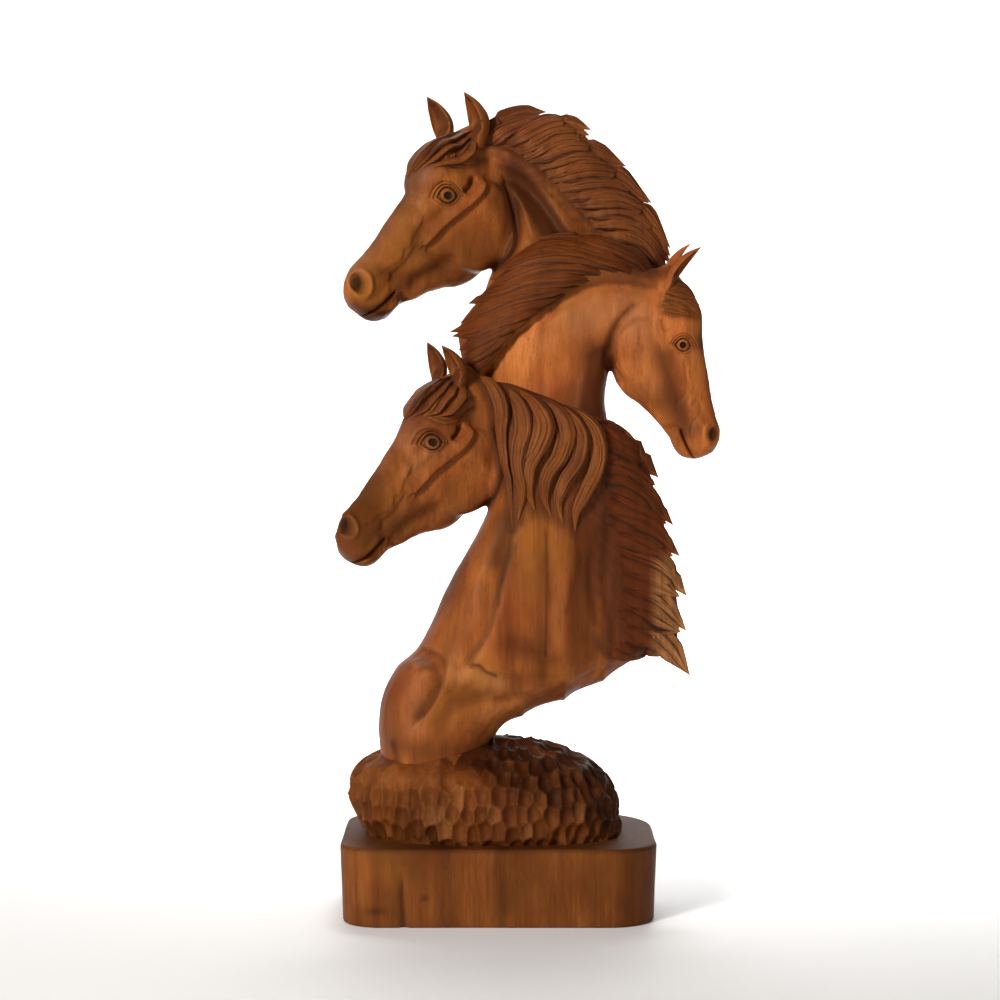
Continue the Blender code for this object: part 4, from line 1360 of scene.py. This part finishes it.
def combed(name, tufts, tree, finish, style):
    """Turns the lines of tufts into one piece of carved hair."""
    lines, leans, halves, seeds = zip(*tufts, strict=True)
    # One path of edges for each tuft, with no edge between the last and the next.
    edges = [(i, i + 1) for i in range(len(lines) * TUFT_POINTS) if (i + 1) % TUFT_POINTS]
    obj = add_mesh(name, np.vstack(lines), [], edges)
    lean = obj.data.attributes.new("lean", "FLOAT_VECTOR", "POINT")
    lean.data.foreach_set("vector", np.vstack(leans).ravel())
    store(obj, "half_width", np.concatenate(halves) * MM)
    store(obj, "seed", np.repeat(seeds, TUFT_POINTS))
    modifier = obj.modifiers.new("Tufts", "NODES")
    modifier.node_group = tree
    height, depth, grooves, groove_depth = HAIR_STYLES[style]
    values = {
        "Sides": TUFT_AROUND,
        "Height": height,
        "Depth": depth,
        "Grooves": grooves,
        "Groove Depth": groove_depth * MM,
        "Finish": finish,
    }
    for socket in tree.interface.items_tree:
        if socket.in_out == "INPUT" and socket.name in values:
            modifier[socket.identifier] = values[socket.name]
    evaluated(obj)
    smooth_shaded(obj)
    return obj


def mound_ring(level, left, right, front, back, angle):
    """A squarish outline round the mound at one level."""
    c, s = np.cos(angle), np.sin(angle)
    power = 2 / MOUND_SQUARENESS
    x = np.sign(c) * np.abs(c) ** power
    y = np.sign(s) * np.abs(s) ** power
    x = np.where(x > 0, x * right, -x * left)
    y = np.where(y > 0, y * back, -y * front)
    return np.stack([x, y, np.full(len(angle), level)], axis=1)


def mound_surface():
    """Rings of points, evenly spaced round and up the mound, and their outward normals."""
    turn = np.linspace(0, 2 * math.pi, 721)
    fine = smooth_rows(MOUND_LEVELS, PROFILE_STEPS)
    middle = mound_ring(*fine[PROFILE_STEPS // 3], turn)
    # Equal steps along the outline, so that the corners aren't crowded.
    length = run_length(middle)
    even = np.linspace(0, length[-1], MOUND_AROUND, endpoint=False)
    angle = np.interp(even, length, turn)
    front = np.array([mound_ring(*row, np.array([-math.pi / 2]))[0] for row in fine])
    rise = run_length(front)
    steps = np.arange(PROFILE_STEPS)
    at = np.interp(np.linspace(0, rise[-1], MOUND_UP), rise, steps)
    rows = np.array([np.interp(at, steps, column) for column in fine.T]).T
    rings = np.array([mound_ring(*row, angle) for row in rows])
    # The cuts run on over the top, most of which the neck hides.
    top = rings[-1].mean(axis=0) + np.array([0, 0, 2.5])
    over = [top + (rings[-1] - top) * share for share in MOUND_OVER]
    rings = np.concatenate([rings, over])
    along = np.roll(rings, -1, axis=1) - np.roll(rings, 1, axis=1)
    up = np.gradient(rings, axis=0)
    return rings, unit(np.cross(along, up)), along, up


def scoop_centres(rings, along, up, draw):
    """Middle, frame and look of each cut: curve, slopes across and up, depth and tone."""
    height = np.linalg.norm(np.diff(rings[:, 0], axis=0), axis=1).sum()
    rows = round(height / SCOOP_HEIGHT)
    aside, upward = SCOOP_STRAY
    cuts = []
    for row in range(rows + 1):
        i = round(row / rows * (len(rings) - 1))
        ring = rings[i]
        length = np.linalg.norm(np.roll(ring, -1, axis=0) - ring, axis=1).sum()
        count = max(6, round(length / SCOOP_WIDTH))
        for cut in range(count):
            j = int((cut + 0.5 * (row % 2) + draw.uniform(-aside, aside)) / count * MOUND_AROUND)
            j %= MOUND_AROUND
            k = i + draw.uniform(-upward, upward) * len(rings) / rows
            k = int(np.clip(k, 0, len(rings) - 1))
            look = draw.uniform(SCOOP_LEAST, SCOOP_MOST)
            cuts.append((rings[k, j], unit(along[k, j]), unit(up[k, j]), look))
    return cuts


def mound():
    """The mound, cut all over with short upright strokes of a gouge."""
    draw = np.random.default_rng(7)
    rings, normals, along, up = mound_surface()
    cuts = scoop_centres(rings, along, up, draw)
    points = rings.reshape(-1, 3)
    best = np.full(len(points), 9.0)
    owner = np.zeros(len(points))
    for centre, across, rise, (curve, lean, tip, deep, tone) in cuts:
        away = points - centre
        near = np.flatnonzero((np.abs(away) < SCOOP_REACH).all(axis=1))
        away = away[near]
        a = away @ across / (SCOOP_HALVES[0] * SCOOP_WIDTH)
        b = away @ rise / (SCOOP_HALVES[1] * SCOOP_HEIGHT)
        # The upper end of a cut is round and deep, and it runs out below.
        b = np.where(b > 0, b * SCOOP_ENDS[0], b * SCOOP_ENDS[1])
        score = curve * (a * a + b * b) + lean * a + tip * b - deep
        closer = score < best[near]
        best[near] = np.where(closer, score, best[near])
        owner[near] = np.where(closer, tone, owner[near])
    depth = SCOOP_DEPTH * (1 - np.clip(best, -0.2, 0.95))
    # The cuts are shallow round the foot of the neck, which meets the mound in a clean line.
    foot = fade(points[:, 2], *FOOT_LEVELS) * (1 - fade(np.abs(points[:, 0] - FOOT_MIDDLE), *FOOT_HALF))
    depth *= 1 - 0.85 * foot * (1 - fade(points[:, 1], *FOOT_DEPTH))
    # They end before the closed top, which the neck hides.
    depth *= 1 - 0.9 * fade(np.arange(len(points)) // MOUND_AROUND, len(rings) - 4, len(rings) - 1)
    points = points - depth[:, None] * normals.reshape(-1, 3)
    points = points.reshape(rings.shape)
    top = points[-1].mean(axis=0) + np.array([0, 0, 1.5])
    closing = [top + (points[-1] - top) * share for share in MOUND_CLOSING]
    obj = add_mesh("mound", *tube(np.concatenate([points, closing])))
    outward(obj)
    # Painted shade, with some dirt, in the hollows of the cuts.
    store(obj, "shade", 0.8 * hollows(obj, 4, 1.1))
    x, _, z = points_of(obj).T
    # Every cut has its own tone; the top and the right are darker, with stain and painted shade, and the
    # foot is a little darker.
    tones = np.concatenate([owner, np.full(len(x) - len(owner), 0.5)])
    dark = 0.9 * fade(z + 0.45 * x, 90, 112) + 0.25 * (1 - fade(z, 62, 72))
    store(obj, "stain", np.clip(dark + 0.9 * (tones - 0.55), 0, 1))
    store(obj, "pale", 0.22 * np.clip((0.35 - tones) / 0.35, 0, 1) * (1 - np.clip(dark, 0, 1)))
    smooth_shaded(obj)
    return obj


def plinth_outline():
    """Evenly spaced points round the slab, anticlockwise from its front left corner."""
    corners = [
        (PLINTH_LEFT, PLINTH_FRONT, 1, 1, 180),
        (PLINTH_RIGHT, PLINTH_FRONT, -1, 1, 270),
        (PLINTH_RIGHT, PLINTH_BACK, -1, -1, 0),
        (PLINTH_LEFT, PLINTH_BACK, 1, -1, 90),
    ]
    outline = []
    for (x, y, to_x, to_y, start), radius in zip(corners, PLINTH_CORNERS, strict=True):
        for step in range(25):
            angle = math.radians(start + 90 * step / 24)
            corner = (x + to_x * radius, y + to_y * radius)
            outline.append((corner[0] + radius * math.cos(angle), corner[1] + radius * math.sin(angle)))
    outline = np.array([*outline, outline[0]])
    length = run_length(outline)
    at = np.linspace(0, length[-1], round(length[-1] / PLINTH_STEP), endpoint=False)
    return np.stack([np.interp(at, length, outline[:, k]) for k in (0, 1)], axis=1)


def plinth():
    """The slab: sawn sides with a little sway, a rubbed edge, an old crack and a seam."""
    outline = plinth_outline()
    count = len(outline)
    centre = np.array([(PLINTH_LEFT + PLINTH_RIGHT) / 2, (PLINTH_FRONT + PLINTH_BACK) / 2])
    rows = [(0.0, 0.962), (0.0, 0.975), (0.6, PLINTH_TAPER - 0.003)]
    for level in np.linspace(2.0, PLINTH_TOP - 3, 30):
        rows.append((level, PLINTH_TAPER + (1 - PLINTH_TAPER) * level / PLINTH_TOP))
    rows += [(PLINTH_TOP - depth, share) for depth, share in PLINTH_EDGE]
    rows += [(PLINTH_TOP, share) for share in np.linspace(0.945, 0.45, 14)]
    rings = []
    turn = round_angles(count)
    for level, share in rows:
        sway = 0.25 * np.sin(5 * turn + 0.05 * level) + 0.18 * np.sin(11 * turn - 0.08 * level)
        ring = (outline - centre) * share
        ring = ring + centre + unit(ring) * (sway - 0.4)[:, None]
        rings.append(np.column_stack([ring, np.full(count, level)]))
    rings = np.array(rings)
    front = rings[:, :, 1] < PLINTH_FRONT + 4
    x, z = rings[:, :, 0], rings[:, :, 2]
    crack = ridge(x, CRACK_AT - 0.05 * z, 0.7 + 0.035 * (50 - z)) * fade(z, 45, 25)
    seam = ridge(x, SEAM_AT, 0.9) * fade(z, 2, 30)
    rings[:, :, 1] += np.where(front, 2.2 * crack + 0.7 * seam, 0)
    obj = add_mesh("plinth", *tube(rings))
    outward(obj)
    # Painted shade in the crack and the seam.
    store(obj, "shade", np.where(front, np.maximum(crack, 0.5 * seam), 0).reshape(-1))
    x, y, z = points_of(obj).T
    # Painted shade darkens the right end.
    band = 0.3 * fade(x, *RIGHT_END_SHADE)
    for middle, width, strength in DARK_BANDS:
        band += strength * ridge(x, middle, width)
    edge = 0.55 * fade(z, PLINTH_TOP - 4, PLINTH_TOP - 0.5)
    for (at_x, at_z, wide, high), strength in ((KNOT, 0.6), (SMUDGE, 0.7)):
        band += strength * ridge(x, at_x, wide) * ridge(z, at_z, high)
    store(obj, "stain", np.clip(np.where(y < 0, band, 0.2) + edge, 0, 1))
    smooth_shaded(obj)
    return obj


def carved_wood(name, tone, contrast, gloss=0.44, combed_hair=False, root_shade=0.0):
    """Oiled hardwood with upright grain: colour bands, fibres, pores, and hollows darkened with patina and
    painted shade.
    """
    material = bpy.data.materials.new(name)
    material.use_nodes = True
    material.node_tree.nodes.clear()
    g = Graph(material.node_tree)
    place = g.add("ShaderNodeTexCoord", output="Object")

    def grain(name):
        scales, detail, rough, warp = GRAIN[name]
        stretched = g.add("ShaderNodeMapping", {}, {"Vector": place, "Scale": scales})
        values = {"Vector": stretched, "Scale": 1.0, "Detail": detail, "Roughness": rough}
        return g.add("ShaderNodeTexNoise", {}, {**values, "Distortion": warp})

    bands, wide, streaks, fibres = grain("bands"), grain("wide"), grain("streaks"), grain("fibres")

    def ramp(value, low, high, first=0.0, last=1.0):
        stops = [(at, (level, level, level, 1)) for at, level in ((low, first), (high, last))]
        return g.add("ShaderNodeValToRGB", {"stops": stops}, {"Fac": value})

    def attribute(label):
        return g.add("ShaderNodeAttribute", {"attribute_name": label}, output="Fac")

    def toned(*colour):
        return (*np.multiply(tone, colour), 1)

    deep = toned(*DEEP_WOOD)
    shade, mark = attribute("shade"), attribute("mark")
    pore = ramp(grain("pores"), 0.62, 0.70)
    # Each layer: where it lies, and its colour over what is below it.
    layers = [
        (ramp(wide * 0.5 + bands * 0.5, 0.52, 0.70) * (0.55 * contrast), deep),
        (ramp(grain("blotches"), 0.50, 0.70) * 0.55, deep),
        (ramp(streaks, 0.45, 0.75) * (0.40 * contrast), deep),
        (ramp(fibres, 0.40, 0.75) * 0.22, deep),
        (pore * 0.35, PORE_COLOUR),
        (ramp(grain("golden"), 0.48, 0.66) * 0.40, toned(*GOLD_WOOD)),
        (ramp(grain("ruddy"), 0.50, 0.68) * 0.45, toned(*RED_WOOD)),
        # Painted sheen on the bridge of a nose and on the bust.
        (attribute("worn") * (1.2 - bands), PAINTED_SHEEN_COLOUR),
        (ramp(grain("smudges"), 0.46, 0.70) * 0.45, deep),
        # Real stains together with painted shade.
        (attribute("stain"), toned(*STAIN_AND_SHADE_WOOD)),
        # Pale sapwood and paler wood, and a painted highlight on the upper muzzle.
        (attribute("pale") * (1.15 - streaks), SAPWOOD_AND_HIGHLIGHT_COLOUR),
        # Painted shade, partly patina, in hollows and cracks, under hair and in the cups of the ears.
        (shade * 0.80, PATINA_AND_SHADE_COLOUR),
    ]
    height = fibres * 0.35 + streaks * 0.5 - pore * 0.5
    if combed_hair:
        lines = (attribute("across") * 26.0 + streaks * 5.0).maths("SINE")
        height = height - lines * 0.8
        layers += [
            (lines.maths("MAXIMUM", 0.0) * 0.35, deep),
            # Painted shade in the grooves of the hair.
            (attribute("groove") * 0.80, GROOVE_SHADE_COLOUR),
            # Painted shadow where the hair comes out of the neck.
            (ramp(attribute("along"), 0.05, 0.34, 1.0, 0.0) * root_shade, GROOVE_SHADE_COLOUR),
        ]
    band = ramp(bands * 0.6 + wide * 0.4, 0.36, 0.62)
    colour = g.mixed(band * contrast, toned(*LIGHT_WOOD), toned(*MIDDLE_WOOD))
    # The marks: painted pupils and lid lines, with painted shade in the nostrils and the mouth.
    for where, over in [*layers, (mark, MARK_COLOUR)]:
        colour = g.mixed(where, colour, over)
    rough = gloss + streaks * 0.10 + shade * 0.25 + pore * 0.10 + mark * 0.15
    values = {"Strength": 0.22, "Distance": 0.0006, "Height": height}
    values = {"Base Color": colour, "Roughness": rough, "Normal": g.add("ShaderNodeBump", {}, values)}
    values |= {"Specular IOR Level": 0.22, "Specular Tint": (1.0, 0.60, 0.34, 1)}
    shader = g.add("ShaderNodeBsdfPrincipled", {}, values)
    g.add("ShaderNodeOutputMaterial", {}, {"Surface": shader})
    return material


def plain(name, colour, roughness):
    material = bpy.data.materials.new(name)
    material.use_nodes = True
    shader = material.node_tree.nodes["Principled BSDF"]
    shader.inputs["Base Color"].default_value = colour
    shader.inputs["Roughness"].default_value = roughness
    return material


def hair_near(obj, tufts, reach):
    """1 where carved hair lies on a body, 0 past reach from every tuft."""
    centres = []
    for line, lean, half, _ in tufts:
        across = unit(np.cross(np.gradient(line, axis=0), lean))
        centres += [line + across * (half * share)[:, None] for share in (-0.8, 0.0, 0.8)]
    centres = np.vstack(centres)
    lookup = KDTree(len(centres))
    for i, point in enumerate(centres):
        lookup.insert(point, i)
    lookup.balance()
    away = np.array([lookup.find(point)[2] for point in points_of(obj)])
    return 1 - fade(away, 0.35 * reach, reach)


def head_paint_and_shade(obj, head, name):
    """Painted pupils and lid lines, and painted shade in the nostrils and along the mouth."""
    along, up, out = head.local(points_of(obj)).T
    side = (np.abs(out) > 0.008) & (np.abs(out) < 0.2)
    here = side & (np.hypot(along - EYES[name][0], up - EYES[name][1]) < 1.2 * EYE_REACH)
    mark = np.zeros(len(along))
    mark[here] = eye_stain(along[here], up[here], EYES[name])
    place = nostril_place(along, up, NOSTRILS[name])
    # Painted shade in the hole of the nostril.
    hole = 0.85 * (1 - fade(place, 0.35, 0.85)) * side
    # Painted shade along the line of the mouth.
    mouth, _ = from_path(along, up, MOUTH)
    mouth = 0.6 * (1 - fade(mouth, 0.003, 0.012)) * (np.abs(out) < 0.12)
    return np.maximum.reduce([mark, hole, mouth])


def mirrored(head, one):
    """A tuft on the other side of a head."""
    line, lean, half, seed = one
    near = head.axes[2]
    across = (line - head.poll) @ near
    line = line - 2 * across[:, None] * near
    lean = lean - 2 * (lean @ near)[:, None] * near
    return line, lean, half, seed + 7


def hair_of(obj, head, name):
    """Hair of one horse, by piece: the tufts and how they look."""
    draw = np.random.default_rng(len(name) * 31)
    tree = tree_of(obj)
    flows, middle, style = MANES[name]
    mane, locks, fringe = [], [], []
    for toward in (-1, 1):
        for path, widths in flows:
            mane += tuft(tree, side_frame(toward, middle), path, widths, draw, style)
    if name == "lower":
        for toward in (-1, 1):
            for path, widths in SIDE_LOCKS:
                lower = [(x, z - 4 - 4 * toward) for x, z in path]
                locks += tuft(tree, side_frame(toward, 0), lower, widths, draw, "locks")
    over = (head.poll, head.length * head.axes[0], head.length * head.axes[2], head.axes[1])
    for path, widths in FRINGES.get(name, []):
        for side in (1, -1):
            strand = [(along, side * out) for along, out in path]
            fringe += tuft(tree, over, strand, widths, draw, "forelock")
    for path, widths in FORELOCKS[name]:
        near = tuft(tree, side_frame(-1, 0), path, widths, draw, "forelock")
        fringe += near + [mirrored(head, one) for one in near]
    found = {name + "_mane": (mane, style), name + "_forelock": (fringe, "forelock")}
    if locks:
        found[name + "_locks"] = (locks, "locks")
    return found


def area_light(name, place, target, size, power, colour, spread):
    lamp = bpy.data.lights.new(name, "AREA")
    lamp.shape = "DISK"
    lamp.size = size
    lamp.energy = power
    lamp.color = colour
    lamp.spread = math.radians(spread)
    obj = bpy.data.objects.new(name, lamp)
    obj.location = place
    away = Vector(target) - Vector(place)
    obj.rotation_euler = away.to_track_quat("-Z", "Y").to_euler()
    bpy.context.scene.collection.objects.link(obj)


def studio():
    """Camera at the photograph's angle, a pale floor that curves up, and soft lights."""
    scene = bpy.context.scene
    camera = bpy.data.objects.new("camera", bpy.data.cameras.new("camera"))
    camera.data.lens = CAMERA_LENS
    camera.data.sensor_width = 36
    camera.location = CAMERA_PLACE
    camera.rotation_euler = (math.radians(90 - CAMERA_DOWN), 0, 0)
    scene.collection.objects.link(camera)
    scene.camera = camera
    profile = [(-FLOOR_REACH, 0)]
    for angle in np.radians(np.linspace(0, 90, 13)):
        rise = FLOOR_BEND * (1 - math.cos(angle))
        profile.append((FLOOR_FLAT + FLOOR_BEND * math.sin(angle), rise))
    profile.append((FLOOR_FLAT + FLOOR_BEND, FLOOR_REACH))
    points = [(x, y, z) for y, z in profile for x in (-FLOOR_HALF, FLOOR_HALF)]
    faces = [(2 * i, 2 * i + 1, 2 * i + 3, 2 * i + 2) for i in range(len(profile) - 1)]
    floor = add_mesh("floor", points, faces)
    floor.data.materials.append(plain("floor_white", (0.86, 0.86, 0.86, 1), 0.6))
    smooth_shaded(floor)
    for name, values in LIGHTS.items():
        area_light(name, *values)
    scene.world = bpy.data.worlds.new("studio")
    scene.world.use_nodes = True
    background = scene.world.node_tree.nodes["Background"].inputs
    background["Color"].default_value = (1, 1, 1, 1)
    background["Strength"].default_value = WORLD_LIGHT
    scene.view_settings.view_transform = "Standard"


def place_piece(obj):
    """Rides on the one body and stands for the one node."""
    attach(obj, "root")
    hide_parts("carving")


def add_ears(obj, ears):
    """Adds the ears to a finished head, a little darker all over, with painted shade in their cups."""
    work = bmesh.new()
    work.from_mesh(obj.data)
    layer = work.verts.layers.float["shade"]
    for points, faces in ears:
        made = [work.verts.new(point) for point in points * MM]
        for face in faces:
            work.faces.new([made[k] for k in face])
        for k, vert in enumerate(made):
            angle = 2 * math.pi * (k % EAR_AROUND) / EAR_AROUND
            # Painted shade inside the cup.
            vert[layer] = 0.30 + 0.62 * fade(math.sin(angle), 0.35, 0.9)
    bmesh.ops.recalc_face_normals(work, faces=work.faces)
    work.to_mesh(obj.data)
    work.free()


def horse(name, woods, tree):
    """The body of one horse with its ears, then its mane, forelock and side locks."""
    obj, head = horse_body(name)
    hair = hair_of(obj, head, name)
    tufts = [one for found, style in hair.values() if style != "forelock" for one in found]
    fringe = hair[name + "_forelock"][0]
    # Painted shade: in the hollows of the body (partly patina), under the mane and locks, and more lightly
    # under the forelock.
    shade = np.maximum(0.9 * hollows(obj, 10, 1.2), 0.8 * hair_near(obj, tufts, 7.5))
    store(obj, "mark", head_paint_and_shade(obj, head, name))
    points = points_of(obj)
    store(obj, "shade", np.maximum(shade, 0.4 * hair_near(obj, fringe, 3.5)))
    for label, table in (("stain", STAINS_AND_SHADE), ("pale", PALES), ("worn", PAINTED_SHEEN)):
        strength = cut_height(points[:, 0], points[:, 2], table[name])
        store(obj, label, np.clip(strength, 0, 1))
    add_ears(obj, [ear(*values) for values in EARS[name]])
    obj.data.materials.append(woods[name])
    smooth_shaded(obj)
    place_piece(obj)
    for piece_name, (found, style) in hair.items():
        wood = {"forelock": "fringe", "locks": "locks"}.get(style, name + "_combed")
        piece = combed(piece_name, found, tree, woods[wood], style)
        if piece_name == "lower_mane":
            # The last tips reach into the pale sapwood.
            points = points_of(piece)
            pale = fade(points[:, 0], *SAPWOOD_FROM) * (1 - fade(points[:, 2], *SAPWOOD_UNDER))
            store(piece, "pale", 0.95 * pale)
        place_piece(piece)


def build():
    woods = {name: carved_wood(name + "_wood", *look) for name, look in WOODS.items()}
    tree = tuft_tree()
    for name in HEADS:
        horse(name, woods, tree)
    for obj, wood in ((mound(), "gouged"), (plinth(), "sawn")):
        obj.data.materials.append(woods[wood])
        place_piece(obj)


build()
studio()
